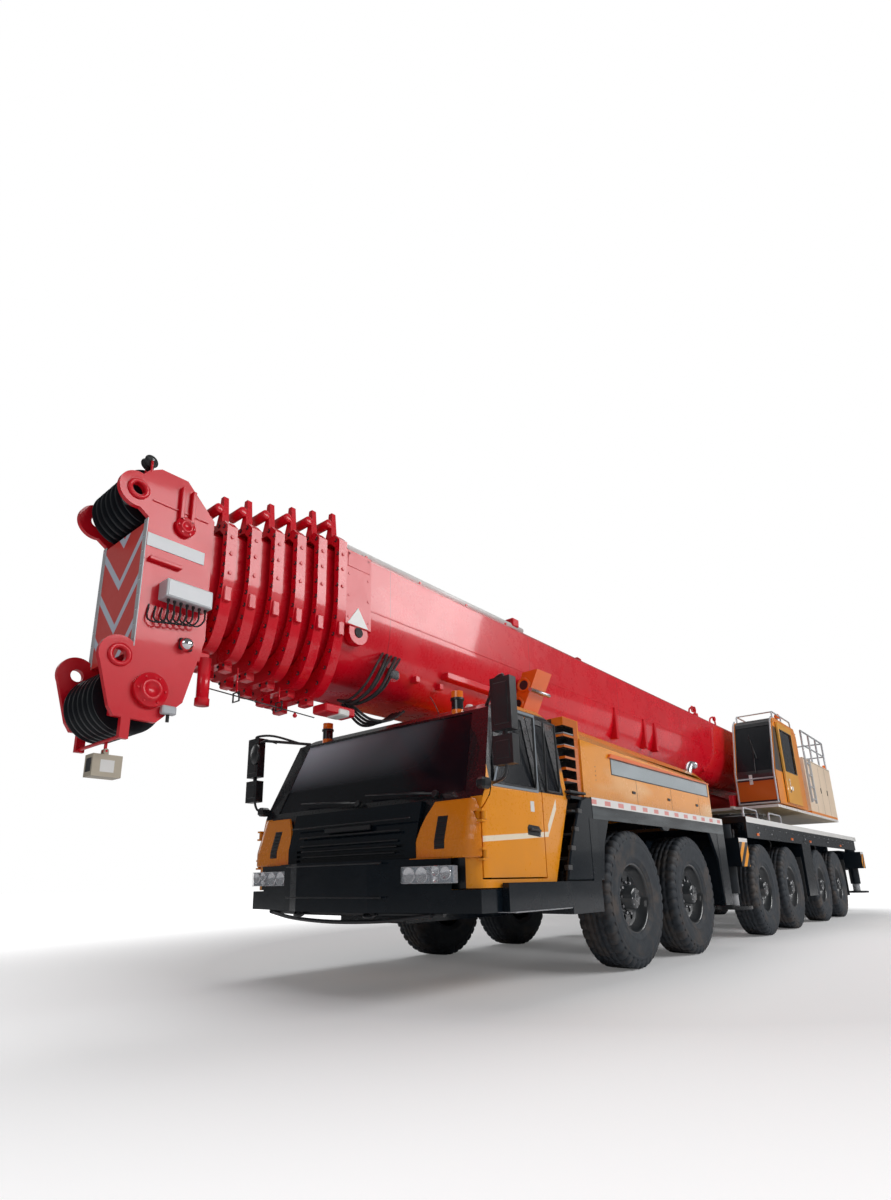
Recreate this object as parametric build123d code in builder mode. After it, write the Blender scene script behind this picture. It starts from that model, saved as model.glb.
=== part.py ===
"""Six-axle mobile crane with a seven-section telescopic boom, stowed for the road.

Row frame: +X forward, +Y to the vehicle's left, +Z up, in millimetres. The origin lies on the
ground, halfway between the jib lugs at the front and the rear outrigger pads.
"""
from build123d import *
import os

os.makedirs("parts", exist_ok=True)

# Overall sizes
front_reach = 5200        # first axle to the tips of the jib lugs
rear_reach = 13700        # first axle to the rear edge of the rear outrigger pads
half_width = 1500         # deck edges and tyres
running_gap = 0.3         # between a shaft and its bore, or a pad and its slide
panel_gap = 12            # round the doors
move_gap = 8              # between pieces that pass each other

axle_1 = (rear_reach - front_reach) / 2
axle_gaps = (1650, 3120, 1650, 2330, 1650)
axle_x = [axle_1 - sum(axle_gaps[:n]) for n in range(len(axle_gaps) + 1)]
steered_axles = (0, 1)

# Wheels
tyre_radius = 685
tyre_width = 385
tyre_crown = 300
rim_radius = 345
rim_width = 300
rim_wall = 10
disc_offset = 40
disc_thickness = 18
hub_radius = 125
hub_reach = 175
wheel_y = half_width - 50 - tyre_width / 2
hand_holes = 8
hand_hole_radius = 26
spindle_radius = 60
kingpin_y = 985
kingpin_radius = 34
knuckle_radius = 75
knuckle_height = 320
fork_thickness = 55

# Carrier frame
frame_half = 420
frame_bottom = 880
frame_top = 1400
frame_rear = axle_1 - 13500
frame_nose_bottom = 790
frame_nose_top = 1180
frame_drop_x = axle_1 + 1000
frame_drop_bottom = 540
rail_width = 120
frame_step = axle_1 - 2700
cross_member_height = 130
axle_beam_half_height = 90
axle_beam_half_depth = 110
bowl_radius = 230
strut_y = 620
strut_radius = 62
strut_eye = 85
bracket_height = 210

engine_rear = axle_1 - 1500
engine_front = axle_1 + 150
engine_mounts = (engine_rear + 150, engine_front - 450)

# Outriggers: each box holds two beams side by side, one for each side of the vehicle
outrigger_x = {"front": axle_1 - 3450, "rear": axle_1 - 13229}
box_wall = 30
beam_width = 400
beam_height = 400
beam_slide_gap = 6
beam_z = 1215
beam_wall = 16
box_half_length = 1110
beam_reach_in = 1040
beam_stroke = 1900
jack_y = 1240
jack_barrel_radius = 110
jack_barrel_top = 1620
jack_barrel_bottom = 640
jack_rod_radius = 80
jack_pad_radius = 250
jack_pad_thickness = 45
jack_pad_bottom = 425
jack_stroke = 650
end_plate = 24

# Driver's cab
cab_front = axle_1 + 2700
cab_belt_front = axle_1 + 2600
cab_roof_front = axle_1 + 2290
cab_roof_rear = axle_1 + 1215
cab_belt_rear = axle_1 + 1280
cab_sill_rear = axle_1 + 1590
cab_floor = 830
frame_drop_top = cab_floor - running_gap
cab_belt = 1540
cab_header = 2335
cab_roof = 2480
cab_half = 1425
cab_roof_half = 1290
cab_wall = 60
cab_corner = 130
glass_thickness = 8
glass_seat = 10
glass_gap = 0.5
window_sill = 1640
window_head = 2290
door_front = axle_1 + 2620
pillar_back = 85
door_rear = axle_1 + 1735
door_bottom = cab_floor + 75
door_top = 2360
door_depth = 1140
hinge_x = door_front + 15
hinge_y = cab_half + 22
hinge_radius = 20
hinge_pin_radius = 9
hinge_heights = (1080, 1370)
hinge_length = 60

# Front end
bumper_top = 1060
bumper_bottom = 650
bumper_front = axle_1 + 2930
bumper_corner_x = axle_1 + 2700
bumper_rear = axle_1 + 2420
frame_front = bumper_rear - running_gap
bumper_half = 1440
bumper_centre_half = 620
lamp_width = 520
lamp_height = 130
lamp_depth = 60

# Decks, hood and side panels
sill_top = 866
sill_bottom = 590
deck_top_front = 1640
deck_front_front = axle_1 + 950
deck_front_rear = axle_1 - 2830
arch_height = 1435
panel_thickness = 30
hood_half = 1400
hood_top_front = 2400
hood_top_rear = 2300
hood_front = axle_1 + 900
hood_rear = axle_1 - 2760
hood_round = 170
intake_front = axle_1 + 1190
intake_half = 1385
intake_top = 2420
slat_count = 6
rear_deck_top = 1750
rear_deck_front = axle_1 - 3960
rear_deck_rear = axle_1 - 12900
rear_deck_edge = 90

# Turntable and superstructure
slew_x = axle_1 - 7600
slew_radius = 860
slew_seat_top = 1800
ring_height = 210
ring_teeth = 90
upper_bottom = 2060
upper_plate = 50
upper_front = axle_1 - 6250
upper_rear = axle_1 - 11500
upper_half = 1440
cheek_y = 650
cheek_thickness = 60
pivot_x = axle_1 - 10400
pivot_z = 3150
pivot_pin_radius = 90
house_top = 3290
house_front = axle_1 - 8880
house_gap = 20
upper_cab_front = axle_1 - 6330
upper_cab_rear = axle_1 - 8420
upper_cab_inner = 745
upper_cab_outer = 1470
upper_cab_floor = 2130
upper_cab_roof = 3790
upper_cab_wall = 45
tilt_x = upper_cab_rear - 45
tilt_z = upper_cab_floor + 50
tilt_ear_radius = 35
tilt_pin_radius = 18
tilt_ears = (upper_cab_inner + 120, upper_cab_outer - 120)
slide_gap = 8
drum_x = axle_1 - 11080
drum_z = 2640
drum_radius = 300
flange_radius = 400
drum_half = 430

# Luffing cylinder
luff_foot_x = axle_1 - 8900
luff_foot_z = 2300
luff_head_x = axle_1 - 5700
luff_head_z = 2370
luff_barrel_radius = 150
luff_rod_radius = 105
luff_pin_radius = 55
luff_eye_radius = 105
luff_eye_half = 110
luff_neck = 290
luff_head_neck = 480

# Boom sections: the first is the base, the last carries the head
section_count = 7
base_half = 580
base_top = 3740
base_bottom = 2560
bend_z = 3210
width_step = 40
top_step = 38
bottom_step = 36
section_wall = 12
bottom_flat_share = 0.45
top_chamfer = 60
base_front = axle_1 + 3450
collar_pitch = 190
collar_length = 90
collar_stand = 46
collar_drop = 170
collar_rise = 50
section_tail = axle_1 - 9700
base_tail = axle_1 - 10150
tail_step = 60
fin_height = 330
fin_width = 110
pad_length = 60
pad_width = 90
telescope_stroke = 9800

# Boom head
head_rear = axle_1 + 4470
head_face = axle_1 + 4975
head_top = 3800
head_bottom = 1930
cheek_out = 350
cheek_in = 310
upper_lug = (axle_1 + 5066, 3568)
lower_lug = (axle_1 + 5060, 2338)
lug_radius = 134
lug_hole_radius = 45
upper_sheave = (axle_1 + 4930, 3605)
lower_sheave = (axle_1 + 4915, 2085)
upper_sheave_radius = 215
lower_sheave_radius = 235
sheave_pin_radius = 50
sheave_half = 230
groove_pitch = 76
face_bottom = 2400
face_top = 3360
weight_x = axle_1 + 4975
weight_y = 100
weight_bar_z = 1815
weight_bar_radius = 12
weight_pin_z = 1745
weight_pin_radius = 8
weight_link = 8


def save(builder, name):
    """Label a finished piece and write it as one STEP file."""
    builder.part.label = name
    export_step(builder.part, f"parts/{name}.step")


def at_y(y):
    """The upright plane at one y, whose own x is the vehicle's x and whose own y is its z."""
    return Plane(origin=(0, y, 0), x_dir=(1, 0, 0), z_dir=(0, -1, 0))


def at_x(x):
    """The cross plane at one x, whose own x is the vehicle's y and whose own y is its z."""
    return Plane(origin=(x, 0, 0), x_dir=(0, 1, 0), z_dir=(1, 0, 0))


def block(x_low, x_high, y_low, y_high, z_low, z_high, mode=Mode.ADD):
    """Add or cut a block given by its six faces."""
    with Locations(((x_low + x_high) / 2, (y_low + y_high) / 2, (z_low + z_high) / 2)):
        Box(x_high - x_low, y_high - y_low, z_high - z_low, mode=mode)


def round_bar(start, direction, radius, length, mode=Mode.ADD):
    """Add or cut a round bar from its start point along a direction."""
    with Locations(Plane(origin=start, z_dir=direction)):
        Cylinder(radius, length, align=(Align.CENTER, Align.CENTER, Align.MIN), mode=mode)


def rod_y(x, z, radius, y_low, y_high, mode=Mode.ADD):
    """Add or cut a round bar across the vehicle."""
    round_bar((x, y_low, z), (0, 1, 0), radius, y_high - y_low, mode)


def rod_x(y, z, radius, x_low, x_high, mode=Mode.ADD):
    """Add or cut a round bar along the vehicle."""
    round_bar((x_low, y, z), (1, 0, 0), radius, x_high - x_low, mode)


def rod_z(x, y, radius, z_low, z_high, mode=Mode.ADD):
    """Add or cut an upright round bar."""
    round_bar((x, y, z_low), (0, 0, 1), radius, z_high - z_low, mode)


# Outrigger cells: the left beam runs in the rear cell of its box, the right beam in the front cell
cell_width = beam_width + 2 * beam_slide_gap
cell_height = beam_height + 2 * beam_slide_gap
cell_shift = (cell_width + box_wall) / 2
box_length = 2 * cell_width + 3 * box_wall
beam_x = {}
for end, centre in outrigger_x.items():
    beam_x[end, 1] = centre - cell_shift
    beam_x[end, -1] = centre + cell_shift

# Carrier frame with its outrigger boxes, suspension brackets and turntable seat
with BuildPart() as frame:
    block(frame_rear, frame_step, -frame_half, frame_half, frame_bottom, frame_top)
    for side in (1, -1):
        rail_low, rail_high = sorted((side * frame_half, side * (frame_half - rail_width)))
        block(frame_step - 10, frame_drop_x, rail_low, rail_high, frame_nose_bottom, frame_nose_top)
        block(frame_drop_x - 160, frame_front, rail_low, rail_high, frame_drop_bottom, frame_drop_top)
    block(frame_drop_x - 160, frame_drop_x - 60, -frame_half, frame_half, frame_nose_bottom, frame_nose_top)
    block(frame_front - 120, frame_front, -frame_half, frame_half, frame_drop_bottom, frame_drop_top)
    for x in engine_mounts:
        block(x - 50, x + 50, -frame_half, frame_half, frame_nose_bottom,
              frame_nose_bottom + cross_member_height)
    for centre in outrigger_x.values():
        block(centre - box_length / 2, centre + box_length / 2, -box_half_length, box_half_length,
              beam_z - cell_height / 2 - box_wall, beam_z + cell_height / 2 + box_wall)
    for x in axle_x:
        for side in (1, -1):
            low, high = sorted((side * (frame_half - 20), side * (strut_y + strut_eye)))
            block(x - 90, x + 90, low, high, frame_nose_top - bracket_height, frame_nose_top)
    rod_z(slew_x, 0, slew_radius, frame_top - 20, slew_seat_top)
    for x in beam_x.values():
        block(x - cell_width / 2, x + cell_width / 2, -box_half_length - 1, box_half_length + 1,
              beam_z - cell_height / 2, beam_z + cell_height / 2, mode=Mode.SUBTRACT)
        for y in (-box_half_length + 60, box_half_length - 60):
            for z_low in (beam_z - cell_height / 2 - 5, beam_z + beam_height / 2 + running_gap):
                block(x - 70, x + 70, y - 60, y + 60, z_low, z_low + beam_slide_gap + 5 - running_gap)
save(frame, "carrier_frame")

# Engine: one plain block between the rails under the hood, on its two cross members
with BuildPart() as engine:
    block(engine_rear, engine_front, -260, 260, frame_nose_bottom + cross_member_height + running_gap, 1950)
save(engine, "engine_block")

# Axle beams with their struts; the fixed ones end in spindles, the steered ones in forks
fork_inner = knuckle_height / 2 + 2
with BuildPart() as axles:
    for n, x in enumerate(axle_x):
        steered = n in steered_axles
        beam_end = kingpin_y - knuckle_radius - 25 if steered else wheel_y - 130
        block(x - axle_beam_half_depth, x + axle_beam_half_depth, -beam_end, beam_end,
              tyre_radius - axle_beam_half_height, tyre_radius + axle_beam_half_height)
        rod_y(x, tyre_radius, bowl_radius * 0.72, -bowl_radius, bowl_radius)
        for side in (1, -1):
            rod_z(x, side * strut_y, strut_radius, tyre_radius, frame_nose_top - bracket_height)
            if steered:
                low, high = sorted((side * (beam_end - 90), side * (beam_end + 10)))
                block(x - 80, x + 80, low, high, tyre_radius - fork_inner - fork_thickness,
                      tyre_radius + fork_inner + fork_thickness)
                low, high = sorted((side * beam_end, side * (kingpin_y + 60)))
                for z_low in (tyre_radius - fork_inner - fork_thickness, tyre_radius + fork_inner):
                    block(x - 80, x + 80, low, high, z_low, z_low + fork_thickness)
                rod_z(x, side * kingpin_y, kingpin_radius + running_gap, 0, 2 * tyre_radius,
                      mode=Mode.SUBTRACT)
            else:
                low, high = sorted((side * (beam_end - 10), side * (wheel_y + disc_offset)))
                rod_y(x, tyre_radius, spindle_radius, low, high)
save(axles, "axle_beams")

# Steering knuckles: an upright with its kingpin, spindle and track-rod arm
for n in steered_axles:
    for side, side_name in ((1, "left"), (-1, "right")):
        x = axle_x[n]
        with BuildPart() as knuckle:
            rod_z(x, side * kingpin_y, knuckle_radius, tyre_radius - knuckle_height / 2,
                  tyre_radius + knuckle_height / 2)
            rod_z(x, side * kingpin_y, kingpin_radius, tyre_radius - fork_inner - fork_thickness,
                  tyre_radius + fork_inner + fork_thickness)
            low, high = sorted((side * kingpin_y, side * (wheel_y + disc_offset)))
            rod_y(x, tyre_radius, spindle_radius, low, high)
        save(knuckle, f"knuckle_{n + 1}_{side_name}")

# Wheels: a tyre on a dished rim whose hub runs on the spindle
for n, x in enumerate(axle_x):
    for side, side_name in ((1, "left"), (-1, "right")):
        wheel_plane = Plane(origin=(x, side * wheel_y, tyre_radius), x_dir=(0, side, 0), z_dir=(1, 0, 0))
        with BuildPart() as wheel:
            with BuildSketch(wheel_plane):
                Polygon((-rim_width / 2, rim_radius), (rim_width / 2, rim_radius),
                        (tyre_width / 2, tyre_radius * 0.77), (tyre_width / 2 - 12, tyre_radius - 45),
                        (tyre_crown / 2, tyre_radius), (-tyre_crown / 2, tyre_radius),
                        (12 - tyre_width / 2, tyre_radius - 45), (-tyre_width / 2, tyre_radius * 0.77),
                        align=None)
            revolve(axis=Axis((x, 0, tyre_radius), (0, 1, 0)))
            with BuildSketch(wheel_plane):
                barrel_top = rim_radius - running_gap
                barrel_low = rim_radius - rim_wall - running_gap
                Polygon((-rim_width / 2, barrel_low), (-rim_width / 2, barrel_top),
                        (rim_width / 2, barrel_top), (rim_width / 2, barrel_low),
                        (disc_offset + disc_thickness, barrel_low - 60),
                        (disc_offset + disc_thickness, hub_radius), (hub_reach, hub_radius - 20),
                        (hub_reach, 0), (disc_offset + running_gap, 0),
                        (disc_offset + running_gap, spindle_radius + running_gap),
                        (-60, spindle_radius + running_gap), (-60, hub_radius),
                        (disc_offset, hub_radius + 10), (disc_offset, barrel_low - 70),
                        align=None)
            revolve(axis=Axis((x, 0, tyre_radius), (0, 1, 0)))
            with BuildSketch(Plane(origin=(x, side * (wheel_y + disc_offset - 5), tyre_radius),
                                   x_dir=(1, 0, 0), z_dir=(0, side, 0))):
                with PolarLocations((hub_radius + barrel_low - 60) / 2, hand_holes):
                    Circle(hand_hole_radius)
            extrude(amount=disc_thickness + 10, mode=Mode.SUBTRACT)
        save(wheel, f"wheel_{n + 1}_{side_name}")

# Outrigger beams with their jack barrels, and the jack rods with their pads
for end in outrigger_x:
    for side, side_name in ((1, "left"), (-1, "right")):
        x = beam_x[end, side]
        z_low = beam_z - beam_height / 2
        z_high = beam_z + beam_height / 2
        with BuildPart() as beam:
            low, high = sorted((side * (jack_y - jack_barrel_radius + 20), -side * beam_reach_in))
            block(x - beam_width / 2, x + beam_width / 2, low, high, z_low, z_high)
            low, high = sorted((side * (jack_y - jack_barrel_radius - 60), -side * (beam_reach_in + 1)))
            block(x - beam_width / 2 + beam_wall, x + beam_width / 2 - beam_wall, low, high,
                  z_low + beam_wall, z_high - beam_wall, mode=Mode.SUBTRACT)
            rod_z(x, side * jack_y, jack_barrel_radius, jack_barrel_bottom, jack_barrel_top)
            low, high = sorted((side * jack_y, side * (half_width - 6)))
            plate_low, plate_high = sorted((side * (half_width - 6), side * (half_width - 6 - end_plate)))
            block(x - beam_width / 2, x + beam_width / 2, plate_low, plate_high, z_low, z_high)
            block(x - beam_width / 2, x - beam_width / 2 + beam_wall, *sorted(
                (side * (jack_y - jack_barrel_radius), side * (half_width - 6))), z_low, z_high)
            block(x + beam_width / 2 - beam_wall, x + beam_width / 2, *sorted(
                (side * (jack_y - jack_barrel_radius), side * (half_width - 6))), z_low, z_high)
            rod_z(x, side * jack_y, jack_rod_radius + running_gap, jack_barrel_bottom - 1,
                  jack_barrel_top - 30, mode=Mode.SUBTRACT)
        save(beam, f"outrigger_beam_{end}_{side_name}")
        with BuildPart() as jack:
            rod_z(x, side * jack_y, jack_rod_radius, jack_pad_bottom + 10, jack_barrel_top - 60)
            rod_z(x, side * jack_y, jack_pad_radius, jack_pad_bottom, jack_pad_bottom + jack_pad_thickness)
        save(jack, f"outrigger_jack_{end}_{side_name}")


def cab_form(inset):
    """The driver's cab as a closed body, each wall moved in by inset."""
    with BuildPart() as form:
        with BuildSketch(at_y(cab_half + 20)):
            Polygon((cab_front, cab_floor), (cab_front, 1180), (cab_belt_front, cab_belt),
                    (cab_roof_front, cab_header), (cab_roof_front - 160, cab_roof - 60),
                    (cab_roof_front - 420, cab_roof), (cab_roof_rear + 90, cab_roof),
                    (cab_roof_rear, cab_roof - 90), (cab_belt_rear, cab_belt + 60),
                    (cab_sill_rear, cab_floor), align=None)
            if inset:
                offset(amount=-inset, kind=Kind.INTERSECTION)
        extrude(amount=2 * (cab_half + 20))
        with BuildSketch(at_x(cab_roof_rear - 50)):
            Polygon((-cab_half, cab_floor), (cab_half, cab_floor), (cab_half, cab_belt + 60),
                    (cab_roof_half, cab_header), (cab_roof_half - 130, cab_roof),
                    (130 - cab_roof_half, cab_roof), (-cab_roof_half, cab_header),
                    (-cab_half, cab_belt + 60), align=None)
            if inset:
                offset(amount=-inset, kind=Kind.INTERSECTION)
        extrude(amount=cab_front - cab_roof_rear + 100, mode=Mode.INTERSECT)
        with BuildSketch(Plane.XY.offset(cab_floor - 10)):
            with Locations(((cab_roof_rear + cab_front) / 2 - 200, 0)):
                RectangleRounded(cab_front - cab_roof_rear + 400 - 2 * inset,
                                 2 * cab_half - 2 * inset, cab_corner - inset)
        extrude(amount=cab_roof, mode=Mode.INTERSECT)
    return form.part


def both_walls(low, high):
    """The two y spans of the cab's side walls, from a low to a high distance off the middle."""
    return ((low, high), (-high, -low))


def door_outline(grow):
    """The door's side outline, made larger or smaller by grow."""
    Polygon((door_front, door_bottom), (door_front, cab_belt - 120), (cab_belt_front - pillar_back, cab_belt),
            (cab_roof_front - pillar_back, door_top), (door_rear, door_top), (door_rear, door_bottom),
            align=None)
    if grow:
        offset(amount=grow, kind=Kind.INTERSECTION)


def door_window(grow):
    """The door window's side outline."""
    Polygon((cab_belt_front - pillar_back - 110, window_sill), (cab_roof_front - pillar_back - 55, window_head),
            (door_rear + 75, window_head), (door_rear + 75, window_sill), align=None)
    if grow:
        offset(amount=grow, kind=Kind.INTERSECTION)


def quarter_window(grow):
    """The rear side window's outline."""
    Polygon((door_rear - 90, window_sill), (door_rear - 90, window_head),
            (cab_roof_rear + 200, window_head), (cab_belt_rear + 120, window_sill), align=None)
    if grow:
        offset(amount=grow, kind=Kind.INTERSECTION)


def windscreen(grow):
    """The windscreen's outline in front view."""
    Polygon((-1235, cab_belt + 45), (1235, cab_belt + 45), (1120, cab_header - 25),
            (-1120, cab_header - 25), align=None)
    if grow:
        offset(amount=grow, kind=Kind.INTERSECTION)


cab_outside = cab_form(0)
cab_inside = cab_form(cab_wall)
glass_outside = cab_form(glass_seat)
glass_inside = cab_form(glass_seat + glass_thickness)

# Cab shell: walls, floor and roof, open at the doors and windows
with BuildPart() as cab_shell:
    add(cab_outside)
    add(cab_inside, mode=Mode.SUBTRACT)
    for low, high in both_walls(door_depth, cab_half + 100):
        with BuildSketch(at_y(high)):
            door_outline(panel_gap)
        extrude(amount=high - low, mode=Mode.SUBTRACT)
    with BuildSketch(at_y(cab_half + 100)):
        quarter_window(0)
    extrude(amount=2 * cab_half + 200, mode=Mode.SUBTRACT)
    with BuildSketch(at_x(cab_roof_front - 200)):
        windscreen(0)
    extrude(amount=600, mode=Mode.SUBTRACT)
    for side in (1, -1):
        low, high = sorted((side * (cab_half - 20), side * (hinge_y + hinge_pin_radius)))
        for z in hinge_heights:
            block(hinge_x - hinge_pin_radius, hinge_x + 40, low, high, z - hinge_length / 2 - 18,
                  z - hinge_length / 2 - 1)
            block(hinge_x - hinge_pin_radius, hinge_x + 40, low, high, z + hinge_length / 2 + 1,
                  z + hinge_length / 2 + 18)
            rod_z(hinge_x, side * hinge_y, hinge_pin_radius, z - hinge_length / 2 - 10,
                  z + hinge_length / 2 + 10)
save(cab_shell, "cab_shell")

# Cab glass: windscreen and the two rear side windows
with BuildPart() as window_bars:
    with BuildSketch(at_y(cab_half + 100)):
        quarter_window(-glass_gap)
    extrude(amount=2 * cab_half + 200)
    with BuildSketch(at_x(cab_roof_front - 200)):
        windscreen(-glass_gap)
    extrude(amount=600)
with BuildPart() as cab_panes:
    add(glass_outside)
    add(glass_inside, mode=Mode.SUBTRACT)
    add(window_bars.part, mode=Mode.INTERSECT)
save(cab_panes, "cab_glass")

# Doors: each as thick as the wall, with its pane in its window
for side, side_name in ((1, "left"), (-1, "right")):
    far, near = sorted((side * door_depth, side * (cab_half + 100)))
    with BuildPart() as door:
        add(cab_outside)
        add(cab_inside, mode=Mode.SUBTRACT)
        with BuildSketch(at_y(near)):
            door_outline(0)
        extrude(amount=near - far, mode=Mode.INTERSECT)
        with BuildSketch(at_y(near)):
            door_window(0)
        extrude(amount=near - far, mode=Mode.SUBTRACT)
        low, high = sorted((side * (cab_half - 20), side * (hinge_y + hinge_pin_radius)))
        for z in hinge_heights:
            block(door_front - 40, hinge_x, low, high, z - hinge_length / 2, z + hinge_length / 2)
            block(door_front + 1, hinge_x + 30, *sorted((side * (cab_half - 21), side * cab_half)),
                  z - hinge_length / 2 - 1, z + hinge_length / 2 + 1, mode=Mode.SUBTRACT)
            rod_z(hinge_x, side * hinge_y, hinge_radius, z - hinge_length / 2, z + hinge_length / 2)
            rod_z(hinge_x, side * hinge_y, hinge_pin_radius + running_gap, z - hinge_length / 2 - 1,
                  z + hinge_length / 2 + 1, mode=Mode.SUBTRACT)
    save(door, f"door_{side_name}")
    with BuildPart() as pane:
        add(glass_outside)
        add(glass_inside, mode=Mode.SUBTRACT)
        with BuildSketch(at_y(near)):
            door_window(-glass_gap)
        extrude(amount=near - far, mode=Mode.INTERSECT)
    save(pane, f"door_glass_{side_name}")

# Cab interior: dashboard, steering wheel and two seats on the floor
seat_x = axle_1 + 1930
cab_floor_top = cab_floor + cab_wall + running_gap
with BuildPart() as interior:
    block(cab_front - 340, cab_front - 150, -1000, 1000, cab_floor_top, cab_belt - 120)
    round_bar((cab_front - 320, 620, 1360), (-0.45, 0, 1), 30, 270)
    with BuildSketch(Plane(origin=(cab_front - 430, 620, 1604), x_dir=(0, 1, 0), z_dir=(-0.45, 0, 1))):
        Circle(225)
        Circle(190, mode=Mode.SUBTRACT)
        Rectangle(390, 50)
    extrude(amount=26, both=True)
    for y in (620, -620):
        block(seat_x - 230, seat_x + 230, y - 200, y + 200, cab_floor_top, 1260)
        block(seat_x - 250, seat_x + 270, y - 250, y + 250, 1260, 1390)
        block(seat_x - 330, seat_x - 210, y - 240, y + 240, 1300, 2010)
        block(seat_x - 320, seat_x - 230, y - 130, y + 130, 2010, 2190)
save(interior, "cab_interior")

# Front end: the bumper with its lamp pockets, and the dark slotted mask below the windscreen
mask_half = 830
lamp_y = 1010
lamp_z = 935
with BuildPart() as front_end:
    with BuildSketch(at_y(mask_half)):
        Polygon((cab_front + running_gap, bumper_top + 8), (cab_front + 45, bumper_top + 8),
                (cab_front + 45, 1200), (cab_belt_front + 62, cab_belt - 10),
                (cab_belt_front + 8, cab_belt - 10), (cab_front + running_gap, 1185), align=None)
    extrude(amount=2 * mask_half)
    with BuildSketch(at_x(cab_front + 22)):
        with Locations((0, 1130)):
            with GridLocations(0, 42, 1, 3):
                Rectangle(2 * mask_half - 260, 22)
    extrude(amount=60, mode=Mode.SUBTRACT)
    with BuildSketch(Plane.XY.offset(bumper_bottom)):
        Polygon((bumper_rear, -bumper_half), (bumper_corner_x, -bumper_half),
                (bumper_front - 60, -bumper_centre_half), (bumper_front, -bumper_centre_half + 160),
                (bumper_front, bumper_centre_half - 160), (bumper_front - 60, bumper_centre_half),
                (bumper_corner_x, bumper_half), (bumper_rear, bumper_half), align=None)
    extrude(amount=bumper_top - bumper_bottom)
    block(bumper_rear - 10, cab_front + 50, -bumper_half - 1, bumper_half + 1, cab_floor - 10,
          bumper_top + 1, mode=Mode.SUBTRACT)
    for y in (lamp_y, -lamp_y):
        block(bumper_corner_x + 60, bumper_front, y - lamp_width / 2, y + lamp_width / 2,
              lamp_z - lamp_height / 2, lamp_z + lamp_height / 2, mode=Mode.SUBTRACT)
save(front_end, "front_end")

deck_posts = ((deck_front_rear + 60, frame_top), ((axle_x[0] + axle_x[1]) / 2, frame_nose_top),
              (deck_front_front - 60, frame_nose_top))

# Front deck: dark side panels over the first two axles, with steps and the sills under the cab
with BuildPart() as front_deck:
    for side in (1, -1):
        low, high = sorted((side * half_width, side * (half_width - panel_thickness)))
        block(deck_front_rear, deck_front_front, low, high, arch_height, deck_top_front)
        low, high = sorted((side * half_width, side * (hood_half - 60)))
        block(deck_front_rear, deck_front_front, low, high, deck_top_front - 40, deck_top_front)
        low, high = sorted((side * half_width, side * (half_width - 320)))
        block(axle_x[1] - 1180, axle_x[1] - 900, low, high, 520, arch_height)
        block(axle_1 + 880, deck_front_front + 500, low, high, sill_bottom, sill_top)
        block(axle_1 + 880, deck_front_front + 80, low, high, sill_top, arch_height)
        block(deck_front_front, bumper_rear, *sorted((side * half_width, side * (half_width - 60))),
              sill_bottom + 60, sill_top)
        low, high = sorted((side * (frame_half - rail_width + 10), side * (half_width - 10)))
        foot_low, foot_high = sorted((side * (frame_half - rail_width + 10), side * (frame_half - 10)))
        for x, foot in deck_posts:
            block(x - 40, x + 40, low, high, arch_height, arch_height + 90)
            block(x - 40, x + 40, foot_low, foot_high, foot + running_gap, arch_height + 10)
save(front_deck, "front_deck")

# Hood over the engine, open underneath, with the upright louvre of the air intake at its front
with BuildPart() as hood:
    with BuildSketch(at_x(hood_rear)):
        Polygon((-hood_half, deck_top_front), (hood_half, deck_top_front),
                (hood_half, hood_top_rear - hood_round), (hood_half - hood_round, hood_top_rear),
                (hood_round - hood_half, hood_top_rear), (-hood_half, hood_top_rear - hood_round),
                align=None)
    with BuildSketch(at_x(hood_front)):
        Polygon((-hood_half, deck_top_front), (hood_half, deck_top_front),
                (hood_half, hood_top_front - hood_round), (hood_half - hood_round, hood_top_front),
                (hood_round - hood_half, hood_top_front), (-hood_half, hood_top_front - hood_round),
                align=None)
    loft()
    block(hood_rear + 40, hood_front - 40, -hood_half + 40, hood_half - 40, deck_top_front - 1,
          hood_top_rear - 60, mode=Mode.SUBTRACT)
    block(hood_front - 10, intake_front, -intake_half, intake_half, deck_top_front, intake_top)
    for side in (1, -1):
        low, high = sorted((side * (intake_half - 120), side * (intake_half + 1)))
        slot_pitch = (intake_top - 120 - deck_top_front) / slat_count
        for n in range(slat_count):
            z = deck_top_front + 60 + n * slot_pitch
            block(hood_front + 90, intake_front + 1, low, high, z, z + slot_pitch - 24, mode=Mode.SUBTRACT)
save(hood, "engine_cover")

# Rear deck: the walkway over the rear axles, with its white edge and side panels
with BuildPart() as rear_deck:
    for side in (1, -1):
        low, high = sorted((side * half_width, side * (slew_radius + 30)))
        block(rear_deck_rear, rear_deck_front, low, high, rear_deck_top - rear_deck_edge, rear_deck_top)
        low, high = sorted((side * (half_width - 10), side * (half_width - 10 - panel_thickness)))
        block(rear_deck_rear + 200, rear_deck_front, low, high, arch_height, rear_deck_top - rear_deck_edge)
        low, high = sorted((side * (half_width - 10), side * (half_width - 400)))
        mid = (axle_x[3] + axle_x[4]) / 2
        block(mid - 330, mid + 330, low, high, 510, rear_deck_top - rear_deck_edge)
    for x in (axle_1 - 4150, axle_1 - 5600, axle_1 - 9600, axle_1 - 11300, axle_1 - 12600):
        block(x - 60, x + 60, -slew_radius - 40, slew_radius + 40, frame_top + running_gap,
              rear_deck_top - 10)
save(rear_deck, "rear_deck")

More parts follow.
